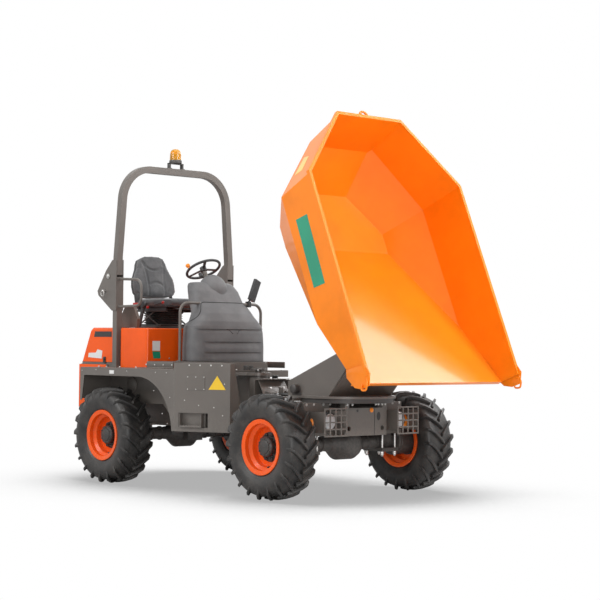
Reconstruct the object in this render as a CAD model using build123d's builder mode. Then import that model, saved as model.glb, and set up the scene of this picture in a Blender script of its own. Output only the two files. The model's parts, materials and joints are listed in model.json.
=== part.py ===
"""Articulated site dumper with a swivelling front-tip skip, in millimetres.

+X is forwards, towards the skip; +Y is the driver's left; +Z is up, with the ground at 0.
Stations along X are counted from the articulation pin, which stands at artic_x.
"""

import os
from math import atan2, cos, degrees, hypot, radians, sin

from build123d import *

os.makedirs("parts", exist_ok=True)

# ---------------------------------------------------------------- driving sizes
artic_x = -201              # articulation pin in the part's own frame
wheelbase = 2100
track = 1558
tyre_dia = 845
tyre_width = 300
bead_radius = 194.3         # where tyre and rim seat
flange_height = 26.7         # rim's flange above the bead
rim_flange_radius = bead_radius + flange_height
rim_width = 252
rim_sheet = 8
hub_radius = 77
hub_face = 81               # hub's outer face from the wheel's middle
spindle_radius = 45
running_fit = 0.05
seat_gap = 0.3              # between pieces that rest on each other

sheet = 6                   # folded plate
frame_plate = 15
deck_top = 1075             # driver's floor
fender_top = 1015
fender_y = 900              # outer face of fenders and step boxes
box_bottom = 500

rops_tube = 60
rops_y = 648                # post centre, to the side
rops_x = -1185
fold_z = 1830               # pivot of the folding hoop
hoop_top = 2810             # centre of the top bar
hoop_radius = 300

skip_wall = 6
tip_pivot_x = 1575
tip_pivot_z = 1262
tip_angle = 67.4            # skip as stored, from level
pivot_s = 473.4               # pivot from the rim's front end, along the rim
pivot_d = 482.3               # pivot below the rim's plane
swivel_x = 1100
turntable_radius = 400
turntable_top = 820
turntable_sheet = 20
side_plate_y = 350          # swivel frame's side plates
hinge_pin_radius = 25

axle_z = tyre_dia / 2
rear_axle_x = -wheelbase / 2
front_axle_x = wheelbase / 2

# ---------------------------------------------------------------- reference planes
plan = Plane(origin=(artic_x, 0, 0))
side = Plane(origin=(artic_x, 0, 0), x_dir=(1, 0, 0), z_dir=(0, -1, 0))


def across(station):
    """Cross-section plane at a station: local x is +Y, local y is +Z, normal is +X."""
    return Plane(origin=(artic_x + station, 0, 0), x_dir=(0, 1, 0), z_dir=(1, 0, 0))


def at_side(y):
    """Side-view plane at the given Y: local x is the station, local y the height, normal -Y."""
    return side.offset(-y)


def save(part, label):
    part.label = label
    export_step(part, f"parts/{label}.step")


# ---------------------------------------------------------------- wheels
tyre_half = tyre_width / 2
# tyre section: distance from the wheel's middle, radius
tyre_section = [
    (112, bead_radius + seat_gap), (112, bead_radius + 37.7), (142, bead_radius + 75.7), (tyre_half, bead_radius + 117.7),
    (146, 368), (134, 402), (118, 414), (0, tyre_dia / 2),
]
rim_half = rim_width / 2
# rim section, outside then inside of the sheet, on one half: distance from the middle, radius
rim_outside = [(rim_half, rim_flange_radius), (114, rim_flange_radius), (113, bead_radius),
               (78, bead_radius), (60, 168)]
rim_inside = [(64, 160), (82, bead_radius - 8.3), (120, bead_radius - 8.3), (rim_half, rim_flange_radius - 9)]
disc_inner = 4              # wheel disc, from the wheel's middle
disc_outer = 16

wheel_stations = [("front_right", front_axle_x, -1), ("front_left", front_axle_x, 1),
                  ("rear_right", rear_axle_x, -1), ("rear_left", rear_axle_x, 1)]

for corner, station, hand in wheel_stations:
    hub_centre = (artic_x + station, hand * track / 2, axle_z)
    section = Plane(origin=hub_centre, x_dir=(0, hand, 0), z_dir=(hand, 0, 0))
    axle_line = Axis(hub_centre, (0, 1, 0))

    with BuildPart() as tyre:
        with BuildSketch(section):
            with BuildLine():
                Polyline(*tyre_section, *[(-a, r) for a, r in reversed(tyre_section[:-1])], close=True)
            make_face()
        revolve(axis=axle_line)
    save(tyre.part, f"tyre_{corner}")

    with BuildPart() as rim:
        with BuildSketch(section):
            with BuildLine():
                Polyline(*rim_outside, *[(-a, r) for a, r in reversed(rim_outside)],
                         *[(-a, r) for a, r in reversed(rim_inside)], *rim_inside, close=True)
            make_face()
            with Locations(((disc_inner + disc_outer) / 2, (hub_radius + 3 + 163) / 2)):
                Rectangle(disc_outer - disc_inner, 163 - hub_radius - 3)
        revolve(axis=axle_line)
    save(rim.part, f"rim_{corner}")

    with BuildPart() as hub:
        with BuildSketch(section):
            with BuildLine():
                Polyline((-22, spindle_radius + running_fit), (-22, 118), (disc_inner, 118),
                         (disc_inner, hub_radius), (hub_face - 8, hub_radius),
                         (hub_face, hub_radius - 8), (hub_face, 0), (50, 0),
                         (50, spindle_radius + running_fit), close=True)
            make_face()
        revolve(axis=axle_line)
    save(hub.part, f"hub_{corner}")

# ---------------------------------------------------------------- axles
tube_radius = 55
drum_inner = 600
drum_outer = track / 2 - 30
spindle_end = track / 2 + 45
clamp_y = 450               # where the axle's pads meet the frame
frame_bottom = 500
clamp_bottom = axle_z - tube_radius - 55.5

for label, station in [("front_axle", front_axle_x), ("rear_axle", rear_axle_x)]:
    axle_section = Plane(origin=(artic_x + station, 0, axle_z), x_dir=(0, 1, 0), z_dir=(1, 0, 0))
    half = [(0, 130), (80, 130), (170, 62), (230, tube_radius), (drum_inner - 40, tube_radius),
            (drum_inner, 110), (drum_outer, 110), (drum_outer, spindle_radius),
            (spindle_end, spindle_radius), (spindle_end, 0)]
    with BuildPart() as axle:
        with BuildSketch(axle_section):
            with BuildLine():
                Polyline(*half, *[(-y, r) for y, r in reversed(half[1:])], close=True)
            make_face()
        revolve(axis=Axis((artic_x + station, 0, axle_z), (0, 1, 0)))
        toward_middle = -1 if station > 0 else 1
        with Locations((artic_x + station + toward_middle * 110, 0, axle_z + 10)):
            Box(160, 170, 150)
        with Locations(*[(artic_x + station, hand * clamp_y, (axle_z + frame_bottom) / 2)
                         for hand in (-1, 1)]):
            Box(130, 110, frame_bottom - seat_gap - axle_z)
        if station > 0:
            # U-bolts and their plates under the axle
            for hand in (-1, 1):
                with Locations((artic_x + station, hand * clamp_y, axle_z - tube_radius - 5)):
                    Box(220, 190, 30)
                with Locations(*[(artic_x + station + dx, hand * clamp_y + dy, (clamp_bottom + frame_bottom) / 2)
                                 for dx in (-90, 90) for dy in (-75, 75)]):
                    Cylinder(9, frame_bottom - seat_gap * 2 - clamp_bottom)
    save(axle.part, label)

# ---------------------------------------------------------------- front chassis
front_end = front_axle_x + 270
front_plate_y = 240
frame_half = 500
frame_deck_z = 765          # top of the frame's deck, under the slewing ring
frame_deck_sheet = 20
recess_back = front_axle_x + 130
lash_radius = 20
lash_front_y = 190
lash_front_z = 560
lash_rear_y = 250
lash_rear_z = 600
neck_half = 165
neck_front = 640             # where the neck drops below the slewing ring
deck_rear = 750              # nothing wide stands behind this, so that the step boxes swing past
neck_bottom = 560
neck_top = 788
tower_top = 930
pin_radius = 30
tongue_radius = 80
tongue_bottom = 530
tongue_top = 955
ring_inner = 310
ring_outer = 380
steer_front = (100, 220)    # steering cylinder's pin on the front frame: station, y
steer_rear = (-500, 160)    # and on the rear frame
steer_z = 600
steer_pin_radius = 15
steer_eye_half = 30
lug_clearance = 6.5         # between an eye and the lugs either side of it
lug_sheet = 15
pin_head = 8

with BuildPart() as front_frame:
    # deck with the opening inside the slewing ring
    with BuildSketch(plan.offset(frame_deck_z - frame_deck_sheet)):
        with BuildLine():
            Polyline((deck_rear, -frame_half), (recess_back, -frame_half),
                     (recess_back, -front_plate_y), (front_end, -front_plate_y),
                     (front_end, front_plate_y), (recess_back, front_plate_y),
                     (recess_back, frame_half), (deck_rear, frame_half), close=True)
        make_face()
        with Locations((swivel_x, 0)):
            Circle(ring_inner - 20, mode=Mode.SUBTRACT)
    extrude(amount=frame_deck_sheet)
    # side plates, outer and recess ones
    for y, start, end in [(frame_half - 20, deck_rear, recess_back),
                          (front_plate_y - 15, deck_rear, front_end)]:
        for hand in (-1, 1):
            with Locations((artic_x + (start + end) / 2, hand * (y + 7.5),
                            (frame_bottom + frame_deck_z - frame_deck_sheet) / 2)):
                Box(end - start, 15, frame_deck_z - frame_deck_sheet - frame_bottom)
    # cross plates: rear, lamp recess backs, front
    for x, low_y, high_y in [(deck_rear + frame_plate / 2, -frame_half, frame_half),
                             (recess_back - frame_plate / 2, -560, -front_plate_y),
                             (recess_back - frame_plate / 2, front_plate_y, 560),
                             (front_end - frame_plate / 2, -front_plate_y, front_plate_y)]:
        with Locations((artic_x + x, (low_y + high_y) / 2, (frame_bottom + frame_deck_z) / 2)):
            Box(frame_plate, high_y - low_y, frame_deck_z - frame_bottom)
    # lashing holes through the front plate
    with BuildSketch(across(front_end + 5)):
        with Locations((-lash_front_y, lash_front_z), (lash_front_y, lash_front_z)):
            Circle(lash_radius)
    extrude(amount=-frame_plate - 10, mode=Mode.SUBTRACT)
    # bottom straps that carry the axle pads
    with Locations(*[(artic_x + front_axle_x - 20, hand * clamp_y, frame_bottom + 7.5) for hand in (-1, 1)]):
        Box(300, 200, 15)
    # hollow neck from the cross plate to the tongue, and the plate that stands on it
    with BuildSketch(plan.offset(neck_bottom)):
        with BuildLine():
            Polyline((0, -60), (60, -70), (180, -neck_half), (neck_front, -neck_half),
                     (neck_front, neck_half), (180, neck_half), (60, 70), (0, 60), close=True)
        make_face()
    extrude(amount=neck_top - neck_bottom)
    with Locations((artic_x + (neck_front + deck_rear) / 2, 0, (neck_bottom + frame_deck_z) / 2)):
        Box(deck_rear - neck_front + 2, 2 * neck_half, frame_deck_z - neck_bottom)
    with Locations((artic_x + 400, 0, (neck_bottom + neck_top) / 2)):
        Box(440, 2 * (neck_half - frame_plate), neck_top - neck_bottom - 2 * frame_plate, mode=Mode.SUBTRACT)
    with Locations((artic_x + 120, 0, (neck_top + tower_top) / 2)):
        Box(15, 2 * neck_half - 20, tower_top - neck_top)
    with Locations((artic_x + 150, 0, tower_top - sheet / 2)):
        Box(75, 2 * neck_half - 20, sheet)
    with Locations((artic_x, 0, (tongue_bottom + tongue_top) / 2)):
        Cylinder(tongue_radius, tongue_top - tongue_bottom)
        Cylinder(pin_radius + running_fit, tongue_top - tongue_bottom, mode=Mode.SUBTRACT)
    # room for the tip cylinder's foot as the skip swivels
    with Locations((artic_x + swivel_x, 0, frame_deck_z - 20)):
        Cylinder(ring_inner - 20, 40, mode=Mode.SUBTRACT)
    # fork for the steering cylinder's rod eye, open between its lugs; heads of the pin outside them
    for hand in (-1, 1):
        lug_z = steer_z + hand * (steer_eye_half + lug_clearance + lug_sheet / 2)
        with BuildSketch(plan.offset(lug_z - lug_sheet / 2)):
            with Locations((steer_front[0] + 25, (60 + steer_front[1]) / 2)):
                Rectangle(70, steer_front[1] - 60)
            with Locations(steer_front):
                Circle(35)
        extrude(amount=lug_sheet)
        with Locations((artic_x + steer_front[0], steer_front[1],
                        lug_z + hand * (lug_sheet + pin_head) / 2)):
            Cylinder(steer_pin_radius + 6, pin_head)
save(front_frame.part, "front_frame")

with BuildPart() as slew_ring:
    with BuildSketch(plan.offset(frame_deck_z)):
        with Locations((swivel_x, 0)):
            Circle(ring_outer)
            Circle(ring_inner, mode=Mode.SUBTRACT)
    extrude(amount=turntable_top - turntable_sheet - frame_deck_z - seat_gap)
save(slew_ring.part, "slew_ring")

# lamp guards: a grid in front of each lamp, on two arms
guard_x = recess_back + 220
guard_inner = 287
guard_outer = 540
guard_bottom = 505
guard_top = 733
guard_bar = 12
guard_cells = 4
for name, hand in [("right", -1), ("left", 1)]:
    width = guard_outer - guard_inner
    height = guard_top - guard_bottom
    cell_w = (width - guard_bar) / guard_cells
    cell_h = (height - guard_bar) / guard_cells
    middle = (hand * (guard_inner + guard_outer) / 2, (guard_bottom + guard_top) / 2)
    with BuildPart() as guard:
        with BuildSketch(across(guard_x - sheet)):
            with Locations(middle):
                Rectangle(width, height)
                with GridLocations(cell_w, cell_h, guard_cells, guard_cells):
                    Rectangle(cell_w - guard_bar, cell_h - guard_bar, mode=Mode.SUBTRACT)
        extrude(amount=sheet)
        for y in (guard_inner + sheet / 2, guard_outer - sheet / 2):
            with Locations((artic_x + (recess_back + guard_x) / 2, hand * y, middle[1])):
                Box(guard_x - recess_back, sheet, height - 60)
    save(guard.part, f"lamp_guard_{name}")

    lamp_y = hand * 395
    lamp_z = 622
    with BuildPart() as lamp:
        with BuildSketch(Plane(origin=(artic_x + recess_back, lamp_y, lamp_z),
                               x_dir=(1, 0, 0), z_dir=(0, 1, 0))):
            with BuildLine():
                Polyline((0, 0), (0, 22), (50, 22), (62, 64), (120, 72), (138, 60), (150, 0), close=True)
            make_face()
        revolve(axis=Axis((artic_x + recess_back, lamp_y, lamp_z), (1, 0, 0)))
    save(lamp.part, f"headlamp_{name}")

# ---------------------------------------------------------------- swivel frame
nose_radius = 50
wedge_rear = 775
wedge_front = 1254
wedge_lean = 43.8           # front edge's slope, in degrees
wedge_rear_top = 933
wedge_bend = (1400, 1186)
front_plate_run = 290
ram_base = (880, 780)       # tip cylinder's rear pin: station, height
ram_pin_radius = 18
ram_ear_radius = 32
ram_ear_y = 58              # middle of the ears either side of the cylinder's eye
slot_rear = 800             # opening in the turntable for the tip cylinder
slot_front = 1190
slot_half = 52
lean_sin = sin(radians(wedge_lean))
lean_cos = cos(radians(wedge_lean))
with BuildPart() as swivel_frame:
    with BuildSketch(plan.offset(turntable_top - turntable_sheet)):
        with Locations((swivel_x, 0)):
            Circle(turntable_radius)
        with Locations(((wedge_rear + swivel_x) / 2, 0)):
            Rectangle(swivel_x - wedge_rear, 2 * side_plate_y + 20)
        with Locations(((slot_rear + slot_front) / 2, 0)):
            Rectangle(slot_front - slot_rear, 2 * slot_half, mode=Mode.SUBTRACT)
    extrude(amount=turntable_sheet)
    for hand in (-1, 1):
        with BuildSketch(at_side(hand * side_plate_y).offset(-10)):
            with BuildLine():
                Polyline((wedge_rear, turntable_top), (wedge_front, turntable_top),
                         (tip_pivot_x + nose_radius * lean_sin, tip_pivot_z - nose_radius * lean_cos),
                         (tip_pivot_x - 19, tip_pivot_z + 46), wedge_bend, (wedge_rear, wedge_rear_top), close=True)
            make_face()
            with Locations((tip_pivot_x, tip_pivot_z)):
                Circle(nose_radius)
        extrude(amount=20)
        with BuildSketch(at_side(hand * side_plate_y).offset(-10)):
            with Locations((tip_pivot_x, tip_pivot_z)):
                Circle(hinge_pin_radius + running_fit)
        extrude(amount=20, mode=Mode.SUBTRACT)
        # ears that hold the cylinder's rear pin, inside the slewing ring
        with BuildSketch(at_side(hand * ram_ear_y).offset(-7.5)):
            with Locations((ram_base[0], (ram_base[1] + turntable_top) / 2)):
                Rectangle(90, turntable_top - ram_base[1])
            with Locations(ram_base):
                Circle(ram_ear_radius)
        extrude(amount=15)
    with BuildSketch(side):
        with Locations(ram_base):
            Circle(ram_pin_radius)
    extrude(amount=ram_ear_y, both=True)
    # front plate between the side plates, leaning with their front edge
    with BuildSketch(side):
        with BuildLine():
            Polyline((wedge_front - 30, turntable_top), (wedge_front - 8, turntable_top),
                     (wedge_front - 8 + front_plate_run * lean_cos, turntable_top + front_plate_run * lean_sin),
                     (wedge_front - 30 + front_plate_run * lean_cos, turntable_top + front_plate_run * lean_sin),
                     close=True)
        make_face()
    extrude(amount=side_plate_y - 5, both=True)
    with Locations((artic_x + wedge_rear + 10, 0, turntable_top + 14)):
        Box(20, 2 * side_plate_y, 28)
save(swivel_frame.part, "swivel_frame")

# ---------------------------------------------------------------- skip
tip = radians(tip_angle)
rim_dir = (-cos(tip), 0, sin(tip))          # along the rim, from the front end to the rear end
deep_dir = (-sin(tip), 0, -cos(tip))        # square to the rim, into the skip
rim_front = (artic_x + tip_pivot_x - pivot_s * rim_dir[0] - pivot_d * deep_dir[0], 0,
             tip_pivot_z - pivot_s * rim_dir[2] - pivot_d * deep_dir[2])
skip_plane = Plane(origin=rim_front, x_dir=rim_dir, z_dir=deep_dir)


def skip_point(s, d):
    """Station and height of a point given along the rim and below it."""
    return (rim_front[0] - artic_x + s * rim_dir[0] + d * deep_dir[0],
            rim_front[2] + s * rim_dir[2] + d * deep_dir[2])


skip_half = 853
skip_length = 2245
lip_drop = 175
chute_slope = 0.41
floor_depth = 745
# corners of one half of the skip: along the rim, to the side, below the rim
corner = {
    "rim_front": (0, skip_half, 0),
    "rim_bend": (1690, skip_half, 0),
    "rim_rear": (skip_length, 357, 0),
    "band_front": (550, 832, 390),
    "band_bend": (1670, 815, 420),
    "band_rear": (2180, 330, 420),
    "floor_bend": (1575, 590, floor_depth),
    "floor_rear": (1910, 240, floor_depth),
}
side_facets = [("rim_front", "rim_bend", "band_bend"), ("band_front", "band_bend", "floor_bend"),
               ("rim_bend", "rim_rear", "band_bend"), ("band_bend", "band_rear", "floor_bend")]
centre_facets = [("rim_rear", "band_rear"), ("band_rear", "floor_rear")]
skip_middle = Vector(1000, 0, 100)


def facet_planes(wall):
    """Planes of the skip's facets, moved inwards by the wall, normals pointing in."""
    triples = []
    for names in side_facets:
        points = [Vector(*corner[name]) for name in names]
        triples.append(points)
        triples.append([Vector(p.X, -p.Y, p.Z) for p in points])
    for names in centre_facets:
        first, second = [Vector(*corner[name]) for name in names]
        triples.append([first, second, Vector(first.X, -first.Y, first.Z)])
    chute_start = Vector(0, 0, lip_drop)
    triples.append([chute_start, chute_start + Vector(100, 0, 100 * chute_slope), chute_start + Vector(0, 100, 0)])
    planes = []
    for a, b, c in triples:
        normal = (b - a).cross(c - a).normalized()
        if normal.dot(skip_middle - a) < 0:
            normal = normal * -1
        planes.append(Plane(origin=a + normal * wall, z_dir=normal))
    return planes


def skip_body(wall, front, top, depth):
    """Convex body bounded by the facets moved inwards by the wall."""
    with BuildPart(mode=Mode.PRIVATE) as body:
        with Locations((skip_length / 2 + front, 0, (depth + top) / 2)):
            Box(skip_length + 200, 2 * skip_half + 200, depth - top)
        split(bisect_by=Plane(origin=(front, 0, 0), z_dir=(1, 0, 0)), keep=Keep.TOP)
        for facet in facet_planes(wall):
            split(bisect_by=facet, keep=Keep.TOP)
    return body.part


hem_width = 22
hem_depth = 30


def rim_outline(grow):
    """Outline of the rim, grown outwards on the sides and the rear."""
    half = [corner["rim_front"], corner["rim_bend"], corner["rim_rear"]]
    turn = radians(45) / 2
    grown = [(0, half[0][1] + grow), (half[1][0] + grow * sin(turn) / cos(turn), half[1][1] + grow),
             (half[2][0] + grow, half[2][1] + grow * sin(turn) / cos(turn))]
    return grown + [(s, -y) for s, y in reversed(grown)]


lug_y = 318                 # skip's hinge lugs, inside the swivel frame's plates
rail_depth = 95             # under-rails, square to the chute
member_width = 40
rail_end = 1230
ram_eye = (718, 540)        # tip cylinder's eye on the skip: along the rim, below it
ram_lug_y = 58
with BuildPart() as skip:
    add(skip_plane * skip_body(0, 0, 0, floor_depth))
    add(skip_plane * skip_body(skip_wall, -50, -10, floor_depth - skip_wall), mode=Mode.SUBTRACT)
    # folded hem round the rim
    with BuildSketch(skip_plane):
        with BuildLine():
            Polyline(*rim_outline(hem_width), close=True)
        make_face()
        with BuildLine():
            Polyline(*rim_outline(-2), close=True)
        make_face(mode=Mode.SUBTRACT)
    extrude(amount=skip_wall)
    with BuildSketch(skip_plane):
        with BuildLine():
            Polyline(*rim_outline(hem_width), close=True)
        make_face()
        with BuildLine():
            Polyline(*rim_outline(hem_width - skip_wall), close=True)
        make_face(mode=Mode.SUBTRACT)
    extrude(amount=hem_depth)
    # turned-down front lip
    lip = skip_point(0, lip_drop)
    with BuildSketch(side):
        with BuildLine():
            Polyline(skip_point(0, lip_drop), skip_point(0, lip_drop + 45), skip_point(skip_wall, lip_drop + 45),
                     skip_point(skip_wall * 2, lip_drop), close=True)
        make_face()
    extrude(amount=skip_half - 12, both=True)
save(skip.part, "skip")

with BuildPart() as rails:
    for hand in (-1, 1):
        with BuildSketch(at_side(hand * lug_y).offset(-10)):
            with BuildLine():
                Polyline(skip_point(150, lip_drop + chute_slope * 150 + seat_gap),
                         skip_point(rail_end, lip_drop + chute_slope * rail_end + seat_gap),
                         skip_point(rail_end - 60, lip_drop + chute_slope * (rail_end - 60) + 70),
                         skip_point(900, lip_drop + chute_slope * 900 + rail_depth),
                         skip_point(pivot_s + 60, pivot_d + 55),
                         skip_point(pivot_s - 40, pivot_d + 40),
                         skip_point(200, lip_drop + chute_slope * 200 + 60), close=True)
            make_face()
            with Locations(skip_point(pivot_s, pivot_d)):
                Circle(nose_radius)
        extrude(amount=20)
        with BuildSketch(at_side(hand * ram_lug_y).offset(-7.5)):
            with BuildLine():
                Polyline(skip_point(ram_eye[0] - 110, lip_drop + chute_slope * (ram_eye[0] - 110) + seat_gap),
                         skip_point(ram_eye[0] + 110, lip_drop + chute_slope * (ram_eye[0] + 110) + seat_gap),
                         skip_point(ram_eye[0] + 30, ram_eye[1] + 25),
                         skip_point(ram_eye[0] - 30, ram_eye[1] + 25), close=True)
            make_face()
            with Locations(skip_point(*ram_eye)):
                Circle(38)
        extrude(amount=15)
        # heads of the cylinder's pin, outside its lugs; the eye between them is open
        with BuildSketch(at_side(hand * (ram_lug_y + (lug_sheet + pin_head) / 2)).offset(-pin_head / 2)):
            with Locations(skip_point(*ram_eye)):
                Circle(ram_pin_radius + 8)
        extrude(amount=pin_head)
    # hinge pins, running in the swivel frame's side plates
    for hand in (-1, 1):
        with BuildSketch(at_side(hand * (side_plate_y - 6)).offset(-34)):
            with Locations((tip_pivot_x, tip_pivot_z)):
                Circle(hinge_pin_radius)
        extrude(amount=68)
    # cross members between the rails, clear of the cylinder's path
    for s, depth in [(330, 55), (ram_eye[0] - 118, 30), (ram_eye[0] + 75, 30), (1150, 55)]:
        with BuildSketch(side):
            with BuildLine():
                Polyline(skip_point(s, lip_drop + chute_slope * s + seat_gap),
                         skip_point(s + member_width, lip_drop + chute_slope * (s + member_width) + seat_gap),
                         skip_point(s + member_width, lip_drop + chute_slope * (s + member_width) + depth),
                         skip_point(s, lip_drop + chute_slope * s + depth), close=True)
            make_face()
        extrude(amount=lug_y, both=True)
save(rails.part, "skip_rails")

# ---------------------------------------------------------------- tip cylinder
ram_head = skip_point(*ram_eye)
ram_vector = (ram_head[0] - ram_base[0], ram_head[1] - ram_base[1])
ram_length = hypot(*ram_vector)
ram_angle = degrees(atan2(ram_vector[1], ram_vector[0]))
barrel_radius = 45
rod_radius = 25
barrel_length = 460
ram_bottom = 50
gland = 40
eye_half = 44
ram_plane = Plane(origin=(artic_x + ram_base[0], 0, ram_base[1]),
                  x_dir=(cos(radians(ram_angle)), 0, sin(radians(ram_angle))), z_dir=(0, -1, 0))
ram_line = Axis((artic_x + ram_base[0], 0, ram_base[1]), (ram_vector[0], 0, ram_vector[1]))


with BuildPart() as tip_barrel:
    with BuildSketch(ram_plane):
        with BuildLine():
            Polyline((20, 0), (20, barrel_radius - 8), (ram_bottom, barrel_radius), (barrel_length, barrel_radius),
                     (barrel_length, rod_radius + running_fit), (barrel_length - gland, rod_radius + running_fit),
                     (barrel_length - gland, barrel_radius - 10), (ram_bottom, barrel_radius - 10),
                     (ram_bottom, 0), close=True)
        make_face()
    revolve(axis=ram_line)
    for radius, mode in [(30, Mode.ADD), (ram_pin_radius + running_fit, Mode.SUBTRACT)]:
        with BuildSketch(ram_plane):
            Circle(radius)
        extrude(amount=eye_half, both=True, mode=mode)
save(tip_barrel.part, "tip_cylinder_barrel")

with BuildPart() as tip_rod:
    with BuildSketch(ram_plane):
        with BuildLine():
            Polyline((barrel_length - gland - 16, 0), (barrel_length - gland - 16, rod_radius),
                     (ram_length - 20, rod_radius), (ram_length - 20, 0), close=True)
        make_face()
    revolve(axis=ram_line)
    for radius, mode in [(33, Mode.ADD), (ram_pin_radius + running_fit, Mode.SUBTRACT)]:
        with BuildSketch(ram_plane):
            with Locations((ram_length, 0)):
                Circle(radius)
        extrude(amount=eye_half, both=True, mode=mode)
save(tip_rod.part, "tip_cylinder_rod")

# ---------------------------------------------------------------- steering cylinder
steer_vector = (steer_front[0] - steer_rear[0], steer_front[1] - steer_rear[1])
steer_length = hypot(*steer_vector)
steer_dir = (steer_vector[0] / steer_length, steer_vector[1] / steer_length, 0)
steer_plane = Plane(origin=(artic_x + steer_rear[0], steer_rear[1], steer_z), x_dir=steer_dir, z_dir=(0, 0, 1))
steer_line = Axis((artic_x + steer_rear[0], steer_rear[1], steer_z), steer_dir)
steer_barrel_length = 340
steer_barrel_radius = 30
steer_rod_radius = 15

with BuildPart() as steer_barrel:
    with BuildSketch(steer_plane):
        with BuildLine():
            Polyline((18, 0), (18, 24), (40, steer_barrel_radius), (steer_barrel_length, steer_barrel_radius),
                     (steer_barrel_length, steer_rod_radius + running_fit),
                     (steer_barrel_length - 30, steer_rod_radius + running_fit),
                     (steer_barrel_length - 30, 24), (45, 24), (45, 0), close=True)
        make_face()
    revolve(axis=steer_line)
    for radius, mode in [(30, Mode.ADD), (steer_pin_radius + running_fit, Mode.SUBTRACT)]:
        with BuildSketch(steer_plane):
            Circle(radius)
        extrude(amount=steer_eye_half, both=True, mode=mode)
save(steer_barrel.part, "steer_cylinder_barrel")

with BuildPart() as steer_rod:
    with BuildSketch(steer_plane):
        with BuildLine():
            Polyline((180, 0), (180, steer_rod_radius), (steer_length - 18, steer_rod_radius),
                     (steer_length - 18, 0), close=True)
        make_face()
    revolve(axis=steer_line)
    for radius, mode in [(28, Mode.ADD), (steer_pin_radius + running_fit, Mode.SUBTRACT)]:
        with BuildSketch(steer_plane):
            with Locations((steer_length, 0)):
                Circle(radius)
        extrude(amount=steer_eye_half, both=True, mode=mode)
save(steer_rod.part, "steer_cylinder_rod")

# ---------------------------------------------------------------- rear chassis
rail_y = 345                # outer face of the rear frame's side plates
rear_end = -1760
fork_radius = 110
fork_top = 985
fork_sheet = 25
cross_front = -250
frame_top = 1000
beam_end = inner_y = 554    # fenders' inner walls stand on the ends of the frame's cross beam
with BuildPart() as rear_frame:
    for hand in (-1, 1):
        with BuildSketch(at_side(hand * (rail_y - frame_plate / 2)).offset(-frame_plate / 2)):
            with BuildLine():
                Polyline((rear_end, 560), (-1250, frame_bottom), (cross_front, frame_bottom),
                         (cross_front, frame_top), (rear_end, frame_top), close=True)
            make_face()
        extrude(amount=frame_plate)
        with Locations((artic_x + rear_axle_x, hand * (rail_y - 10 + clamp_y + 55) / 2, frame_bottom + 10)):
            Box(130, clamp_y + 65 - rail_y, 20)
    # fork for the steering cylinder, with its pin
    for z in (steer_z - steer_eye_half - lug_clearance - lug_sheet, steer_z + steer_eye_half + lug_clearance):
        with BuildSketch(plan.offset(z)):
            with Locations((steer_rear[0], (rail_y - 10 + steer_rear[1]) / 2)):
                Rectangle(70, rail_y - 10 - steer_rear[1])
            with Locations(steer_rear):
                Circle(35)
        extrude(amount=lug_sheet)
    with Locations((artic_x + steer_rear[0], steer_rear[1], steer_z)):
        Cylinder(steer_pin_radius, 2 * (steer_eye_half + lug_clearance + lug_sheet / 2))
    with BuildSketch(across(cross_front)):
        with Locations((0, (frame_bottom + frame_top) / 2)):
            Rectangle(2 * rail_y, frame_top - frame_bottom)
        with Locations((185, steer_z)):
            Rectangle(230, 140, mode=Mode.SUBTRACT)
    extrude(amount=frame_plate)
    # rear cross plate with its lashing holes
    with BuildSketch(across(rear_end)):
        with Locations((0, 620)):
            Rectangle(2 * rail_y, 120)
        with Locations((-lash_rear_y, lash_rear_z), (lash_rear_y, lash_rear_z)):
            Circle(lash_radius, mode=Mode.SUBTRACT)
    extrude(amount=frame_plate)
    # beams that carry the fenders and step boxes
    for station, inner_end in [(cross_front + 5, 0), (-1300, rail_y - 5)]:
        for hand in (-1, 1):
            with Locations((artic_x + station, hand * (inner_end + beam_end) / 2, frame_top - 30)):
                Box(40, beam_end - inner_end, 60)
    # fork round the front frame's tongue, with the pin through it
    for z in (fork_top - fork_sheet, frame_bottom):
        with BuildSketch(plan.offset(z)):
            with BuildLine():
                Polyline((cross_front, -300), (-40, -fork_radius + 8), (-40, fork_radius - 8),
                         (cross_front, 300), close=True)
            make_face()
            with Locations((0, 0)):
                Circle(fork_radius)
        extrude(amount=fork_sheet)
    with Locations((artic_x, 0, (frame_bottom + fork_top) / 2 + 10)):
        Cylinder(pin_radius, fork_top - frame_bottom + 20)
save(rear_frame.part, "rear_frame")

with BuildPart() as engine:
    with BuildSketch(plan.offset(570)):
        with Locations((-1300, 0)):
            Rectangle(700, 2 * (rail_y - frame_plate - seat_gap))
    extrude(amount=410)
save(engine.part, "engine_block")

# driver's floor with its front skirt
floor_outline = [(-740, 640), (-600, 600), (-450, 500), (-310, 360), (-200, 250)]
with BuildPart() as floor:
    with BuildSketch(plan.offset(deck_top - 20)):
        with BuildLine():
            Polyline(*floor_outline, *[(x, -y) for x, y in reversed(floor_outline)], close=True)
        make_face()
    extrude(amount=20)
    with Locations((artic_x - 200 - sheet / 2, 0, (deck_top + 990) / 2)):
        Box(sheet, 500, deck_top - 990)
    for hand in (-1, 1):
        with Locations((artic_x - 490, hand * 310, (deck_top - 20 + frame_top + seat_gap) / 2)):
            Box(450, 60, deck_top - 20 - frame_top - seat_gap)
save(floor.part, "driver_floor")

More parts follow.
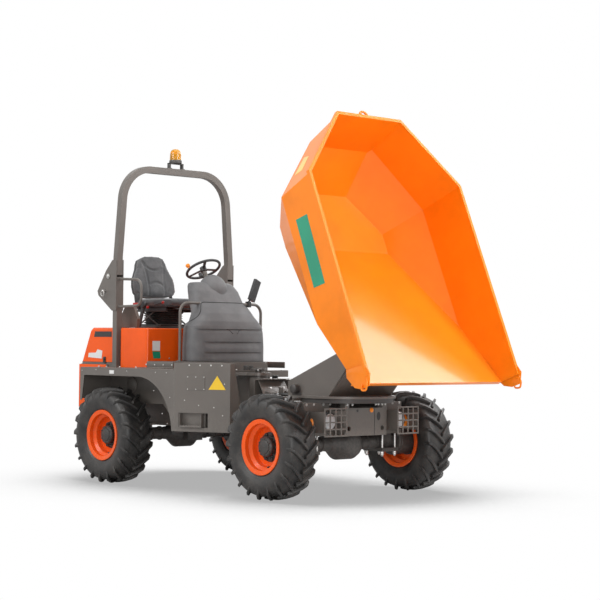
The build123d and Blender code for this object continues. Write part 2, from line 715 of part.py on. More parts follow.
# fenders: an outer skirt with its wheel arch, a top, an inner wall and a front closing plate
arch_x = rear_axle_x + 500
arch_z = 455
arch_radius = 490
fender_rear = rear_axle_x - 338
fender_front = -50
entry_top = 915
leg_bottom = 722
closing_bottom = 735
for name, hand in [("right", -1), ("left", 1)]:
    skirt = at_side(hand * (fender_y - sheet / 2)).offset(-sheet / 2)
    entry = hand > 0        # the left side has a lowered step where the driver climbs in
    arch_top = 893 if entry else 945
    with BuildPart() as fender:
        with BuildSketch(skirt):
            with BuildLine():
                if entry:
                    Polyline((fender_rear, leg_bottom), (fender_rear, fender_top), (-1010, fender_top), (-960, entry_top),
                             (fender_front, entry_top), (fender_front, box_bottom), (fender_front - 25, box_bottom))
                else:
                    Polyline((fender_rear, leg_bottom), (fender_rear, fender_top), (fender_front, fender_top),
                             (fender_front, box_bottom), (fender_front - 25, box_bottom))
                Polyline((fender_rear, leg_bottom), (fender_rear + 25, leg_bottom), (fender_rear + 60, arch_top),
                         (arch_x, arch_top))
                ThreePointArc((arch_x, arch_top), (arch_x + 345, 795), (fender_front - 25, box_bottom))
            make_face()
        extrude(amount=sheet)
        with BuildSketch(side):
            with BuildLine():
                if entry:
                    Polyline((fender_rear, fender_top), (-1010, fender_top), (-960, entry_top), (fender_front, entry_top),
                             (fender_front, entry_top - sheet), (-964, entry_top - sheet), (-1014, fender_top - sheet),
                             (fender_rear, fender_top - sheet), close=True)
                else:
                    Polyline((fender_rear, fender_top), (fender_front, fender_top), (fender_front, fender_top - sheet),
                             (fender_rear, fender_top - sheet), close=True)
            make_face()
        extrude(amount=-hand * fender_y)
        with BuildSketch(side):
            with Locations((-700, 750)):
                Rectangle(1500, 600)
        extrude(amount=-hand * (inner_y + seat_gap), mode=Mode.SUBTRACT)
        wall_top = (entry_top if entry else fender_top) - 3
        with BuildSketch(at_side(hand * (inner_y + seat_gap))):
            with BuildLine():
                Polyline((fender_rear, 700), (fender_rear, wall_top), (fender_front, wall_top),
                         (fender_front, box_bottom), (-400, box_bottom), (-620, 700), close=True)
            make_face()
        extrude(amount=-hand * sheet)
        # plate that closes the wheel arch towards the rear
        with Locations((artic_x + fender_rear + sheet / 2, hand * (inner_y + seat_gap + fender_y) / 2,
                        (closing_bottom + fender_top) / 2)):
            Box(sheet, fender_y - inner_y - seat_gap, fender_top - closing_bottom)
    save(fender.part, f"fender_{name}")

# step boxes in front of the fenders, tapering towards the articulation
box_rear = fender_front + seat_gap
box_top = 1069
taper_start = (-30, fender_y)
taper_end = (426, 687)
box_inner = 577             # inner edge of the front plate
step_bottom = 535
step_top = 655
step_ends = (0, 245)
step_depth = 120
for name, hand in [("right", -1), ("left", 1)]:
    outline = [(box_rear, fender_y), taper_start, taper_end, (taper_end[0], box_inner), (300, 560), (box_rear, 560)]
    hollow = [(box_rear + sheet, fender_y - sheet), (-31, fender_y - sheet), (taper_end[0] - sheet, 683),
              (taper_end[0] - sheet, 500), (box_rear + sheet, 500)]
    top = box_top if hand < 0 else entry_top        # low on the side where the driver climbs in
    with BuildPart() as box:
        with BuildSketch(plan.offset(box_bottom)):
            with BuildLine():
                Polyline(*[(x, hand * y) for x, y in outline], close=True)
            make_face()
        extrude(amount=top - box_bottom)
        with BuildSketch(plan.offset(box_bottom + sheet)):
            with BuildLine():
                Polyline(*[(x, hand * y) for x, y in hollow], close=True)
            make_face()
        extrude(amount=top - box_bottom - 2 * sheet, mode=Mode.SUBTRACT)
        # front plate narrows towards the top
        with BuildSketch(across(taper_end[0] - 20)):
            with BuildLine():
                Polyline((hand * 550, 745), (hand * box_inner, 745), (hand * 645, top),
                         (hand * 645, top + 20), (hand * 550, top + 20), close=True)
            make_face()
        extrude(amount=40, mode=Mode.SUBTRACT)
        # boarding step: a recess with its own shelf and back
        with BuildSketch(plan.offset(step_bottom - sheet)):
            with BuildLine():
                Polyline(*[(x, hand * y) for x, y in [
                    (step_ends[0] - 10, 884), (step_ends[1] + 10, 762), (step_ends[1] + 10, 650),
                    (step_ends[0] - 10, 760)]], close=True)
            make_face()
        extrude(amount=step_top - step_bottom + 2 * sheet)
        with BuildSketch(plan.offset(step_bottom)):
            with BuildLine():
                Polyline(*[(x, hand * y) for x, y in [
                    (step_ends[0], 930), (step_ends[1], 930), (step_ends[1], 662), (step_ends[0], 770)]], close=True)
            make_face()
        extrude(amount=step_top - step_bottom, mode=Mode.SUBTRACT)
    save(box.part, f"step_box_{name}")

# orange panel behind the engine, with its returns
panel_x = -1800
panel_half = 620
panel_bottom = 640
panel_top = 1035
hood_hinge = (-1794, 1046)
hinge_ear = 8
with BuildPart() as panel:
    with Locations((artic_x + panel_x + sheet / 2, 0, (panel_bottom + panel_top) / 2)):
        Box(sheet, 2 * panel_half, panel_top - panel_bottom)
    for hand in (-1, 1):
        with Locations((artic_x + (panel_x + fender_rear - seat_gap) / 2, hand * (panel_half - sheet / 2),
                        (panel_bottom + panel_top) / 2)):
            Box(fender_rear - seat_gap - panel_x, sheet, panel_top - panel_bottom)
        with Locations((artic_x + (panel_x + rear_end) / 2, hand * 337, 800)):
            Box(rear_end - panel_x - seat_gap * 2, 30, 200)
    # knuckles for the hood's hinge
    for y in (-300, 300):
        with BuildSketch(at_side(y)):
            with Locations(hood_hinge):
                Circle(9)
            with Locations((panel_x + sheet / 2, panel_top)):
                Rectangle(sheet, 10)
            with Locations(hood_hinge):
                Circle(5 + running_fit, mode=Mode.SUBTRACT)
        extrude(amount=36, both=True)
save(panel.part, "rear_panel")

# box under and before the seat
seat_box_half = 650
seat_box_rear = -1240
seat_box_front = -745
seat_box_bottom = fender_top + seat_gap
hood_top = 1370
post_notch = 598            # narrower beside the roll-over posts
post_front = -1125
corner_round = 25           # outer radius of the folded orange panels' corners
edge_round = 10


def seat_box_solid(grow, bottom, top):
    """Seat box moved inwards by grow, with its front corners rounded."""
    half = [(seat_box_rear + grow, post_notch - grow), (post_front + grow, post_notch - grow),
            (post_front + grow, seat_box_half - grow), (seat_box_front - grow, seat_box_half - grow)]
    with BuildPart(mode=Mode.PRIVATE) as solid:
        with BuildSketch(plan.offset(bottom)):
            with BuildLine():
                Polyline(*half, *[(x, -y) for x, y in reversed(half)], close=True)
            make_face()
        extrude(amount=top - bottom)
        corners = [edge for edge in solid.edges().filter_by(Axis.Z)
                   if edge.center().X > artic_x + seat_box_front - grow - 1]
        fillet(corners, radius=corner_round - grow)
        if not grow:
            rim = [edge for edge in solid.edges().group_by(Axis.Z)[-1]
                   if edge.center().X > artic_x + seat_box_rear + 1]
            fillet(rim, radius=edge_round)
    return solid.part


with BuildPart() as seat_box:
    add(seat_box_solid(0, seat_box_bottom, hood_top - 5))
    add(seat_box_solid(sheet, seat_box_bottom - 1, hood_top - 5 - sheet), mode=Mode.SUBTRACT)
save(seat_box.part, "seat_box")

# ---------------------------------------------------------------- engine hood and seat
hood_half = 600
hood_rear = -1790
hood_front = -1250
hood_bottom = 1058
hood_section = [(hood_rear, hood_bottom), (hood_rear, 1068), (-1665, 1345), (-1630, hood_top),
                (hood_front, hood_top), (hood_front, hood_bottom)]
hood_hollow = [(hood_rear + 8, hood_bottom - 1), (hood_rear + 8, 1070), (-1660, 1340), (-1627, hood_top - sheet),
               (hood_front - sheet, hood_top - sheet), (hood_front - sheet, hood_bottom - 1)]


def hood_solid(section, half, radius):
    """Hood's section drawn out to both sides, its upper side edges rounded."""
    with BuildPart(mode=Mode.PRIVATE) as solid:
        with BuildSketch(side):
            with BuildLine():
                Polyline(*section, close=True)
            make_face()
        extrude(amount=half, both=True)
        shoulders = [edge for edge in solid.edges()
                     if abs(abs(edge.center().Y) - half) < 1 and edge.center().Z > 1100
                     and edge.center().X < artic_x + hood_front - 2 * sheet]
        fillet(shoulders, radius=radius)
    return solid.part


with BuildPart() as hood:
    add(hood_solid(hood_section, hood_half, corner_round))
    add(hood_solid(hood_hollow, hood_half - sheet, corner_round - sheet), mode=Mode.SUBTRACT)
    # hinge pins and their ears
    for y in (-300, 300):
        with BuildSketch(at_side(y)):
            with Locations(hood_hinge):
                Circle(5)
        extrude(amount=60, both=True)
        for dy in (-50, 50):
            with BuildSketch(at_side(y + dy)):
                with BuildLine():
                    Polyline((hood_hinge[0] - hinge_ear, hood_hinge[1]), (hood_hinge[0] + hinge_ear, hood_hinge[1]),
                             (hood_rear + 7, hood_bottom + 12), (hood_rear, hood_bottom + 12), close=True)
                make_face()
                with Locations(hood_hinge):
                    Circle(hinge_ear)
            extrude(amount=6, both=True)
save(hood.part, "engine_hood")

with BuildPart() as suspension:
    with BuildSketch(plan.offset(hood_top + seat_gap)):
        with Locations((-1390, 0)):
            Rectangle(250, 400)
    extrude(amount=20)
    with BuildSketch(plan.offset(hood_top + 20)):
        with Locations((-1390, 0)):
            Rectangle(220, 300)
    with BuildSketch(plan.offset(1560)):
        with Locations((-1330, 0)):
            Rectangle(330, 380)
    loft()
save(suspension.part, "seat_suspension")

cushion_front = -1000
with BuildPart() as cushion:
    with BuildSketch(side):
        with BuildLine():
            Polyline((-1500, 1560 + seat_gap), (cushion_front - 20, 1560 + seat_gap), (cushion_front, 1590),
                     (cushion_front - 15, 1640), (-1480, 1640), close=True)
        make_face()
    extrude(amount=240, both=True)
    fillet(cushion.edges().filter_by(Axis.Y), radius=8)
save(cushion.part, "seat_cushion")

with BuildPart() as back:
    with BuildSketch(side):
        with BuildLine():
            Polyline((-1550, 1640 + seat_gap), (-1440, 1640 + seat_gap), (-1530, 2010), (-1560, 2040),
                     (-1620, 2045), (-1640, 2015), close=True)
        make_face()
    extrude(amount=220, both=True)
    for hand in (-1, 1):
        with BuildSketch(across(-1700)):
            with BuildLine():
                Polyline((hand * 222, 1850), (hand * 222, 2060), (hand * 130, 2060), (hand * 160, 2010), close=True)
            make_face()
        extrude(amount=300, mode=Mode.SUBTRACT)
save(back.part, "seat_back")

with BuildPart() as side_panel:
    with BuildSketch(at_side(-480)):
        with BuildLine():
            Polyline((-1300, hood_top + seat_gap), (-1080, hood_top + seat_gap), (-1070, 1450), (-1130, 1557),
                     (-1260, 1557), (-1300, 1500), close=True)
        make_face()
    extrude(amount=30)
save(side_panel.part, "seat_side_panel")

# ---------------------------------------------------------------- roll-over bar
tube_wall = 5
half_tube = rops_tube / 2
fold_x = -1270
fold_pin = 12
cheek_inner = half_tube + 3
cheek_sheet = 8
loop_path = [(rops_x + half_tube - 2, 1804), (-838, 1792), (-838, 1562), (rops_x + half_tube - 2, 1556)]
loop_bend = 75
loop_radius = 12
for name, hand in [("right", -1), ("left", 1)]:
    with BuildPart() as post:
        with Locations((artic_x + rops_x, hand * rops_y, fender_top + seat_gap + 9)):
            Box(100, 88, 18)
        with BuildSketch(plan.offset(fender_top + 18)):
            with Locations((rops_x, hand * rops_y)):
                Rectangle(rops_tube, rops_tube)
                Rectangle(rops_tube - 2 * tube_wall, rops_tube - 2 * tube_wall, mode=Mode.SUBTRACT)
        extrude(amount=fold_z - 10 - fender_top - 18)
        for cheek in (-1, 1):
            with BuildSketch(at_side(hand * rops_y + cheek * (cheek_inner + cheek_sheet / 2)).offset(-cheek_sheet / 2)):
                with BuildLine():
                    Polyline((rops_x + 30, 1520), (rops_x + 30, 1975), (rops_x - 30, 1975), (fold_x - 40, 1880),
                             (-1435, 1700), (-1420, 1660), (rops_x - 30, 1520), close=True)
                make_face()
            extrude(amount=cheek_sheet)
            with Locations((artic_x + rops_x, hand * rops_y + cheek * (half_tube + 1.5), 1640)):
                Box(rops_tube, 3, 220)
        with BuildSketch(side.offset(-hand * rops_y)):
            with Locations((fold_x, fold_z)):
                Circle(fold_pin)
        extrude(amount=cheek_inner + cheek_sheet, both=True)
        if hand < 0:
            # grab loop in front of the near post
            loop = [(artic_x + x, hand * rops_y, z) for x, z in loop_path]
            with BuildLine():
                FilletPolyline(*loop, radius=loop_bend)
            with BuildSketch(Plane(origin=loop[0], z_dir=Vector(*loop[1]) - Vector(*loop[0]))):
                Circle(loop_radius)
            sweep()
    save(post.part, f"rops_post_{name}")

tube_bottom = fold_z + 10
top_half = 585
lean_from = 2000            # the legs lean inwards above the fold plates
with BuildPart() as hoop:
    with BuildLine() as hoop_path:
        FilletPolyline((artic_x + rops_x, -rops_y, tube_bottom), (artic_x + rops_x, -rops_y, lean_from),
                       (artic_x + rops_x, -top_half, hoop_top), (artic_x + rops_x, top_half, hoop_top),
                       (artic_x + rops_x, rops_y, lean_from), (artic_x + rops_x, rops_y, tube_bottom),
                       radius=hoop_radius)
    with BuildSketch(Plane(origin=(artic_x + rops_x, -rops_y, tube_bottom), x_dir=(1, 0, 0), z_dir=(0, 0, 1))):
        Rectangle(rops_tube, rops_tube)
        Rectangle(rops_tube - 2 * tube_wall, rops_tube - 2 * tube_wall, mode=Mode.SUBTRACT)
    sweep()
    for hand in (-1, 1):
        with BuildSketch(side.offset(-hand * rops_y)):
            with BuildLine():
                Polyline((rops_x - 20, tube_bottom + 8), (rops_x - 20, tube_bottom + 130), (fold_x - 20, tube_bottom + 20),
                         (fold_x - 20, fold_z), (fold_x, fold_z - 20), (rops_x - 40, tube_bottom + 8), close=True)
            make_face()
            with Locations((fold_x, fold_z)):
                Circle(fold_pin + 14)
        extrude(amount=24, both=True)
        with BuildSketch(side.offset(-hand * rops_y)):
            with Locations((fold_x, fold_z)):
                Circle(fold_pin + running_fit)
        extrude(amount=24, both=True, mode=Mode.SUBTRACT)
save(hoop.part, "rops_hoop")

beacon_foot = hoop_top + half_tube
beacon_line = Axis((artic_x + rops_x, 0, 0), (0, 0, 1))
with BuildPart() as beacon:
    with BuildSketch(side):
        with BuildLine():
            Polyline((rops_x, beacon_foot + seat_gap), (rops_x + 40, beacon_foot + seat_gap),
                     (rops_x + 40, beacon_foot + 10), (rops_x + 58, beacon_foot + 12), (rops_x + 58, beacon_foot + 38),
                     (rops_x + 50, beacon_foot + 42), (rops_x + 46, beacon_foot + 150), (rops_x + 32, 3018),
                     (rops_x, 3026), close=True)
        make_face()
    revolve(axis=beacon_line)
save(beacon.part, "beacon")

# ---------------------------------------------------------------- controls
rail_tube = 13
rail_bend = 85
rail_path = [(-512, 469, deck_top + seat_gap), (-512, 469, 1590), (-512, 205, 1590)]
column_plane = Plane(origin=(artic_x - 770, 0, 1905), x_dir=(0.866, 0, 0.5), z_dir=(-0.5, 0, 0.866))
column_length = 190
column_radius = 22
spindle_size = 10
wheel_ring = 155
# console sections: height, then half outline from the front to the rear
console_low = [(deck_top + seat_gap, [(-310, 330), (-500, 420), (-640, 330)]),
               (1362, [(-360, 352), (-500, 418), (-650, 320)]),
               (1598, [(-475, 220), (-620, 240), (-680, 200)])]
console_high = [(1598, [(-475, 220), (-620, 250), (-690, 210)]),
                (1745, [(-590, 220), (-660, 270), (-722, 205)])]
with BuildPart() as console:
    for levels in (console_low[:2], console_low[1:], console_high):
        for z, half in levels:
            with BuildSketch(plan.offset(z)):
                with BuildLine():
                    Polyline(*half, *[(x, -y) for x, y in reversed(half)], close=True)
                make_face()
        loft()
    with Locations((artic_x - 625, 0, 1745)):
        Cylinder(128, 60, align=(Align.CENTER, Align.CENTER, Align.MIN))
    with Locations((artic_x - 625, 0, 1804)):
        Cone(128, 90, 56, align=(Align.CENTER, Align.CENTER, Align.MIN))
    # pockets for the grab rails and the steering column
    with BuildSketch(side):
        with Locations((rail_path[-1][0], rail_path[-1][2])):
            Circle(rail_tube + seat_gap)
    extrude(amount=rail_path[-1][1] + 90, both=True, mode=Mode.SUBTRACT)
    with BuildSketch(side):
        with Locations((rail_path[-1][0], rail_path[-1][2])):
            Circle(rail_tube + 4)
    extrude(amount=rail_path[-1][1] - 5, both=True)
    with BuildSketch(column_plane.offset(-column_length)):
        Circle(column_radius + seat_gap)
    extrude(amount=column_length, mode=Mode.SUBTRACT)
save(console.part, "console")

with BuildPart() as column:
    with BuildSketch(column_plane.offset(-column_length + seat_gap)):
        Circle(column_radius)
    extrude(amount=column_length - 30)
    with BuildSketch(column_plane.offset(-40)):
        Circle(spindle_size)
    extrude(amount=48)
save(column.part, "steering_column")

with BuildPart() as steering_wheel:
    with BuildSketch(Plane(origin=column_plane.origin, x_dir=column_plane.x_dir, z_dir=(0, 1, 0))):
        with Locations((wheel_ring, 0)):
            Circle(12)
    revolve(axis=Axis(column_plane.origin, column_plane.z_dir))
    with BuildSketch(column_plane.offset(-22)):
        Circle(30)
    extrude(amount=34)
    for turn in (90, 210, 330):
        with BuildSketch(column_plane.offset(-6)):
            with Locations(Rotation(0, 0, turn) * Location((wheel_ring / 2, 0))):
                Rectangle(wheel_ring - 4, 26)
        extrude(amount=6)
    with BuildSketch(column_plane.offset(-25)):
        Circle(spindle_size + running_fit)
    extrude(amount=40, mode=Mode.SUBTRACT)
    # spinner knob
    with BuildSketch(column_plane.offset(4)):
        with Locations(Rotation(0, 0, 150) * Location((wheel_ring, 0))):
            Circle(20)
    extrude(amount=38)
save(steering_wheel.part, "steering_wheel")

for name, hand in [("right", -1), ("left", 1)]:
    points = [(artic_x + x, hand * y, z) for x, y, z in rail_path]
    with BuildPart() as grab_rail:
        with BuildLine():
            FilletPolyline(*points, radius=rail_bend)
        with BuildSketch(Plane(origin=points[0], z_dir=(0, 0, 1))):
            Circle(rail_tube)
        sweep()
        with Locations((points[0][0], points[0][1], points[0][2] + 4)):
            Cylinder(32, 8)
    save(grab_rail.part, f"grab_rail_{name}")

mirror_y = 318              # where the mirror's clamp grips the left rail
mirror_lean = 22
with BuildPart() as mirror:
    with Locations(Location((artic_x + rail_path[-1][0], mirror_y + 71, rail_path[-1][2] + 128), (-mirror_lean, 0, 12))):
        Box(28, 80, 200)
    with BuildSketch(Plane(origin=(artic_x + rail_path[-1][0], mirror_y, rail_path[-1][2] + 23), z_dir=(0, 1, 0.8))):
        Circle(8)
    extrude(amount=58)
    with Locations((artic_x + rail_path[-1][0], mirror_y, rail_path[-1][2])):
        Box(42, 34, 52)
    with BuildSketch(Plane(origin=(artic_x + rail_path[-1][0], mirror_y - 20, rail_path[-1][2]), z_dir=(0, 1, 0))):
        Circle(rail_tube + seat_gap)
    extrude(amount=40, mode=Mode.SUBTRACT)
save(mirror.part, "mirror")
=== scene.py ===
"""Looks of the articulated site dumper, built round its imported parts. All sizes in metres.

Stations are counted along X from the articulation pin, as in the part's own source.
"""

import json
import math
from contextlib import contextmanager

import bmesh
import bpy
from mathutils import Matrix, Vector


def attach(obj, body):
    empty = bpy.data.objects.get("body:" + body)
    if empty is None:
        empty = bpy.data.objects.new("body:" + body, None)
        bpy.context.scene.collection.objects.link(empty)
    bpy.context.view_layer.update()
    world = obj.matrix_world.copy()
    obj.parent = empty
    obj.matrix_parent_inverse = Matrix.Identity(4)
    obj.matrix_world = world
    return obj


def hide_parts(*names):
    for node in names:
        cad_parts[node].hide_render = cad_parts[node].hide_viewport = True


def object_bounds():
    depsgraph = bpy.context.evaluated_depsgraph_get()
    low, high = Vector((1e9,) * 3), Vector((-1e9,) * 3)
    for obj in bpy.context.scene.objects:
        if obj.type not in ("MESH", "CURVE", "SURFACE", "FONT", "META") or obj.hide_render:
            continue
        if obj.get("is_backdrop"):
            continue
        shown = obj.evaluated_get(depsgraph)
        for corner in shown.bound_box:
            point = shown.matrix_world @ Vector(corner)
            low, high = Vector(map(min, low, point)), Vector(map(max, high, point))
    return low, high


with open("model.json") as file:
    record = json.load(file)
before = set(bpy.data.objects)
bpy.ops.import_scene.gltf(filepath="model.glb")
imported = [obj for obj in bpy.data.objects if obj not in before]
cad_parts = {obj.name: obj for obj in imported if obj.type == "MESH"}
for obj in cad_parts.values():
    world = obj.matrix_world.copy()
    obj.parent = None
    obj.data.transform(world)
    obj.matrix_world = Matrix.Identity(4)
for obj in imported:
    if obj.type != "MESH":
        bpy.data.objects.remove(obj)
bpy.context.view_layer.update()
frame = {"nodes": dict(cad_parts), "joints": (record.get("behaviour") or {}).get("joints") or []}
nodes = frame["nodes"]
joints = {joint["name"]: joint for joint in frame["joints"]}
artic_x = joints["articulation"]["pos_m"][0]
hands = ((-1, "right"), (1, "left"))        # the driver's right and left
ends = ((1, "front_chassis"), (-1, "rear_chassis"))

# places that several pieces share
wheel_height = 0.4225
axle_station = 1.05
hood_side = 0.600
seat_box_front = -0.745
rear_panel_back = -1.8035
front_plate = 1.3205
post_side = 0.6925
fender_side = 0.9002


def at(station, y, z):
    """A point given by its station, its distance to the left and its height."""
    return Vector((artic_x + station, y, z))


def at_station(station, *spots):
    """Points at one station, each given by its distance to the left and its height."""
    return [at(station, y, z) for y, z in spots]


def at_side(y, *spots):
    """Points at one distance to the left, each given by its station and its height."""
    return [at(station, y, z) for station, z in spots]


def circle(count, radius=1.0, shift=0.0):
    """Cosines and sines round a full turn, times the radius."""
    turns = [2 * math.pi * (k + shift) / count for k in range(count)]
    return [(radius * math.cos(turn), radius * math.sin(turn)) for turn in turns]


# ---------------- finishes
white = (1, 1, 1, 1)


def scaled(base, factor):
    """A paler or darker shade of a colour."""
    return [min(1, c * factor) for c in base]


class Signal:
    """A value from a tree's nodes, with Python's own arithmetic."""

    def __init__(self, nodes, socket):
        self.nodes, self.socket = nodes, socket

    def maths(self, operation, *values):
        return self.nodes.node("ShaderNodeMath", {"operation": operation}, dict(enumerate(values)))

    def __add__(self, other):
        return self.maths("ADD", self, other)

    def __sub__(self, other):
        return self.maths("SUBTRACT", self, other)

    def __rsub__(self, other):
        return self.maths("SUBTRACT", other, self)

    def __mul__(self, other):
        return self.maths("MULTIPLY", self, other)

    __radd__, __rmul__ = __add__, __mul__

    def between(self, low, high):
        """0 below low, 1 above high, smooth in between."""
        return self.nodes.node("ShaderNodeMapRange", {"interpolation_type": "SMOOTHSTEP", "clamp": True},
                               {"Value": self, "From Min": low, "From Max": high})

    def pick(self, *others):
        """The largest of this and the others."""
        found = self
        for other in others:
            found = found.maths("MAXIMUM", found, other)
        return found


class Nodes:
    """A node tree, built one node at a time."""

    def __init__(self, tree):
        self.tree = tree

    def node(self, kind, settings, inputs, output=0):
        made = self.tree.nodes.new(kind)
        for name, value in settings.items():
            setattr(made, name, value)
        for name, value in inputs.items():
            if isinstance(value, Signal):
                self.tree.links.new(value.socket, made.inputs[name])
            else:
                made.inputs[name].default_value = value
        return Signal(self, made.outputs[output])

    def lead(self, signal, node, socket):
        """Links a signal to a node that the tree began with."""
        self.tree.links.new(signal.socket, self.tree.nodes[node].inputs[socket])


class Finish(Nodes):
    """A material built round one Principled shader."""

    def __init__(self, name, **fixed):
        self.material = bpy.data.materials.new(name)
        self.material.use_nodes = True
        super().__init__(self.material.node_tree)
        self.shader = self.tree.nodes["Principled BSDF"]
        for socket, value in fixed.items():
            self.shader.inputs[socket.replace("_", " ")].default_value = value
        self.place = self.node("ShaderNodeTexCoord", {}, {}, "Object")

    def noise(self, scale, detail, rough):
        return self.node("ShaderNodeTexNoise", {}, {"Vector": self.place, "Scale": scale, "Detail": detail,
                                                    "Roughness": rough}, "Fac")

    def mix(self, mask, *pair):
        """Blends two colours, each a signal or red, green and blue."""
        first, second = [end if isinstance(end, Signal) else (*end, 1) for end in pair]
        return self.node("ShaderNodeMix", {"data_type": "RGBA"}, {0: mask, 6: first, 7: second}, 2)

    def up(self):
        """1 where the surface faces the sky, -1 where it faces the ground."""
        normal = self.node("ShaderNodeNewGeometry", {}, {}, "Normal")
        return self.node("ShaderNodeSeparateXYZ", {}, {0: normal}, "Z")

    def height(self):
        return self.node("ShaderNodeSeparateXYZ", {}, {0: self.place}, "Z")

    def edges(self, width):
        """1 on the part's outside and inside edges, 0 on its flats, and the rounded normal."""
        rounded = self.node("ShaderNodeBevel", {"samples": 4}, {"Radius": width})
        flat = self.node("ShaderNodeNewGeometry", {}, {}, "Normal")
        same = self.node("ShaderNodeVectorMath", {"operation": "DOT_PRODUCT"}, {0: rounded, 1: flat}, "Value")
        return (1 - same).between(0.02, 0.18), rounded

    def bump(self, height, depth, normal=None):
        inputs = {"Height": height, "Strength": 1.0, "Distance": depth}
        if normal is not None:
            inputs["Normal"] = normal
        return self.node("ShaderNodeBump", {}, inputs)

    def set(self, **sockets):
        for socket, value in sockets.items():
            self.lead(value, self.shader.name, socket.replace("_", " "))
        return self.material


def paint(name, base, edge_highlight, dust, rough=0.32, coat=0.35, peel=0.00012, dirt=0.35, shine=0.5):
    """Sprayed paint on plate: orange peel, edges painted paler as a highlight, dust on what faces up."""
    finish = Finish(name, IOR=1.5, Coat_Roughness=0.12, Specular_IOR_Level=shine)
    edge, rounded = finish.edges(0.004)
    cloud = finish.noise(3.1, 4, 0.6)
    speck = finish.noise(48, 3, 0.6)
    tone = finish.mix(cloud.between(0.3, 0.75), base, scaled(base, 0.86))
    # edges painted paler in blotches: a painted highlight along the rounded edges
    tone = finish.mix(edge * speck.between(0.35, 0.6) * 0.55, tone, edge_highlight)
    settled = finish.up().between(0.2, 0.95) * (cloud * speck).between(0.12, 0.42) * dirt
    low = (1 - finish.height().between(0.25, 0.85)) * speck.between(0.3, 0.7) * dirt
    grime = settled.pick(low)
    tone = finish.mix(grime, tone, dust)
    gloss = grime * 0.35 + speck * 0.06 + rough - 0.03
    return finish.set(Base_Color=tone, Roughness=gloss, Coat_Weight=(1 - grime) * coat,
                      Normal=finish.bump(finish.noise(620, 2, 0.5), peel, rounded))


def moulded(name, base, rough=0.55, grain=0.00025, scale=900, pale=1.35):
    """Moulded plastic with a fine leathery grain and edges painted paler as a highlight."""
    finish = Finish(name, IOR=1.46)
    edge, rounded = finish.edges(0.003)
    cloud = finish.noise(5, 4, 0.6)
    pores = finish.node("ShaderNodeTexVoronoi", {}, {"Vector": finish.place, "Scale": scale})
    tone = finish.mix(cloud.between(0.35, 0.7), base, scaled(base, pale))
    # edges painted paler: a painted highlight along the rounded edges
    tone = finish.mix(edge * 0.35, tone, scaled(base, 1.9))
    return finish.set(Base_Color=tone, Roughness=cloud * 0.12 + rough - 0.05,
                      Normal=finish.bump(pores, grain, rounded))


def rubber(name, base, dust, dusty):
    """Tyre rubber, greyed by dust in patches."""
    finish = Finish(name, IOR=1.45)
    cloud = finish.noise(9, 5, 0.65)
    fine = finish.noise(260, 4, 0.7)
    tone = finish.mix((cloud * fine).between(0.16, 0.42) * dusty, base, dust)
    return finish.set(Base_Color=tone, Roughness=cloud * 0.30 + 0.27, Normal=finish.bump(fine, 0.0006))


def metal(name, base, rough, streak=0.0004, metallic=1.0):
    """Bare or plated steel with faint turning marks."""
    finish = Finish(name, Metallic=metallic)
    marks = finish.noise(140, 3, 0.6)
    tone = finish.mix(marks.between(0.4, 0.7) * 0.3, base, scaled(base, 0.6))
    return finish.set(Base_Color=tone, Roughness=marks * 0.15 + rough, Normal=finish.bump(marks, streak))


def cloth(name, base, pale):
    """Coated seat cloth: fine woven cells and a soft bloom of wear."""
    finish = Finish(name, IOR=1.4, Sheen_Weight=0.35, Sheen_Roughness=0.5)
    cloud = finish.noise(7, 4, 0.6)
    cells = finish.node("ShaderNodeTexVoronoi", {"distance": "CHEBYCHEV"},
                        {"Vector": finish.place, "Scale": 700})
    tone = finish.mix(cloud.between(0.35, 0.7), base, pale)
    return finish.set(Base_Color=tone, Roughness=cloud * 0.15 + 0.62, Normal=finish.bump(cells, 0.0004))


def clear(name, tint, rough, through):
    """Clear plastic or glass with fine flutes."""
    finish = Finish(name, Transmission_Weight=through, IOR=1.45, Roughness=rough)
    flutes = finish.node("ShaderNodeTexWave", {"bands_direction": "Y"},
                         {"Vector": finish.place, "Scale": 30.0, "Distortion": 0.2}, "Fac")
    return finish.set(Base_Color=finish.mix(flutes, tint, scaled(tint, 0.8)),
                      Normal=finish.bump(flutes, 0.0008))


# the second colour of each paint is the painted highlight on its edges
orange = paint("orange_paint", (0.95, 0.235, 0.002), (0.98, 0.36, 0.05), (0.88, 0.30, 0.05),
               rough=0.46, coat=0.30, dirt=0.06, shine=0.25)
hood_orange = paint("hood_paint", (0.95, 0.110, 0.003), (0.98, 0.34, 0.09), (0.84, 0.24, 0.08),
                    rough=0.36, coat=0.15, dirt=0.06, shine=0.3)
rim_orange = paint("rim_paint", (0.95, 0.100, 0.002), (0.98, 0.34, 0.09), (0.60, 0.24, 0.12),
                   coat=0.12, dirt=0.16, shine=0.3)
chassis = paint("chassis_paint", (0.138, 0.123, 0.110), (0.30, 0.275, 0.25), (0.25, 0.225, 0.195),
                rough=0.42, coat=0.12, peel=0.00018, dirt=0.35)
dark_paint = paint("dark_paint", (0.055, 0.050, 0.047), (0.17, 0.155, 0.145), (0.17, 0.15, 0.13), rough=0.5,
                   coat=0.05)
hub_paint = paint("hub_paint", (0.030, 0.028, 0.026), (0.13, 0.12, 0.11), (0.085, 0.075, 0.067), rough=0.42,
                  coat=0.1)
plastic = moulded("console_plastic", (0.118, 0.118, 0.121))
black_plastic = moulded("black_plastic", (0.030, 0.030, 0.031), rough=0.45)
brown_panel = moulded("brown_panel", (0.098, 0.070, 0.056), rough=0.5)
tyre_rubber = rubber("tyre_rubber", (0.018, 0.0175, 0.0175), (0.125, 0.110, 0.096), 0.40)
hose_rubber = rubber("hose_rubber", (0.026, 0.026, 0.026), (0.10, 0.092, 0.084), 0.3)
seat_cloth = cloth("seat_cloth", (0.058, 0.059, 0.062), (0.108, 0.109, 0.112))
zinc = metal("zinc_bolts", (0.66, 0.65, 0.63), 0.32)
chrome = metal("ram_chrome", (0.78, 0.78, 0.79), 0.14, 0.0001)
cast = metal("cast_iron", (0.10, 0.097, 0.092), 0.55, 0.0008, 0.4)
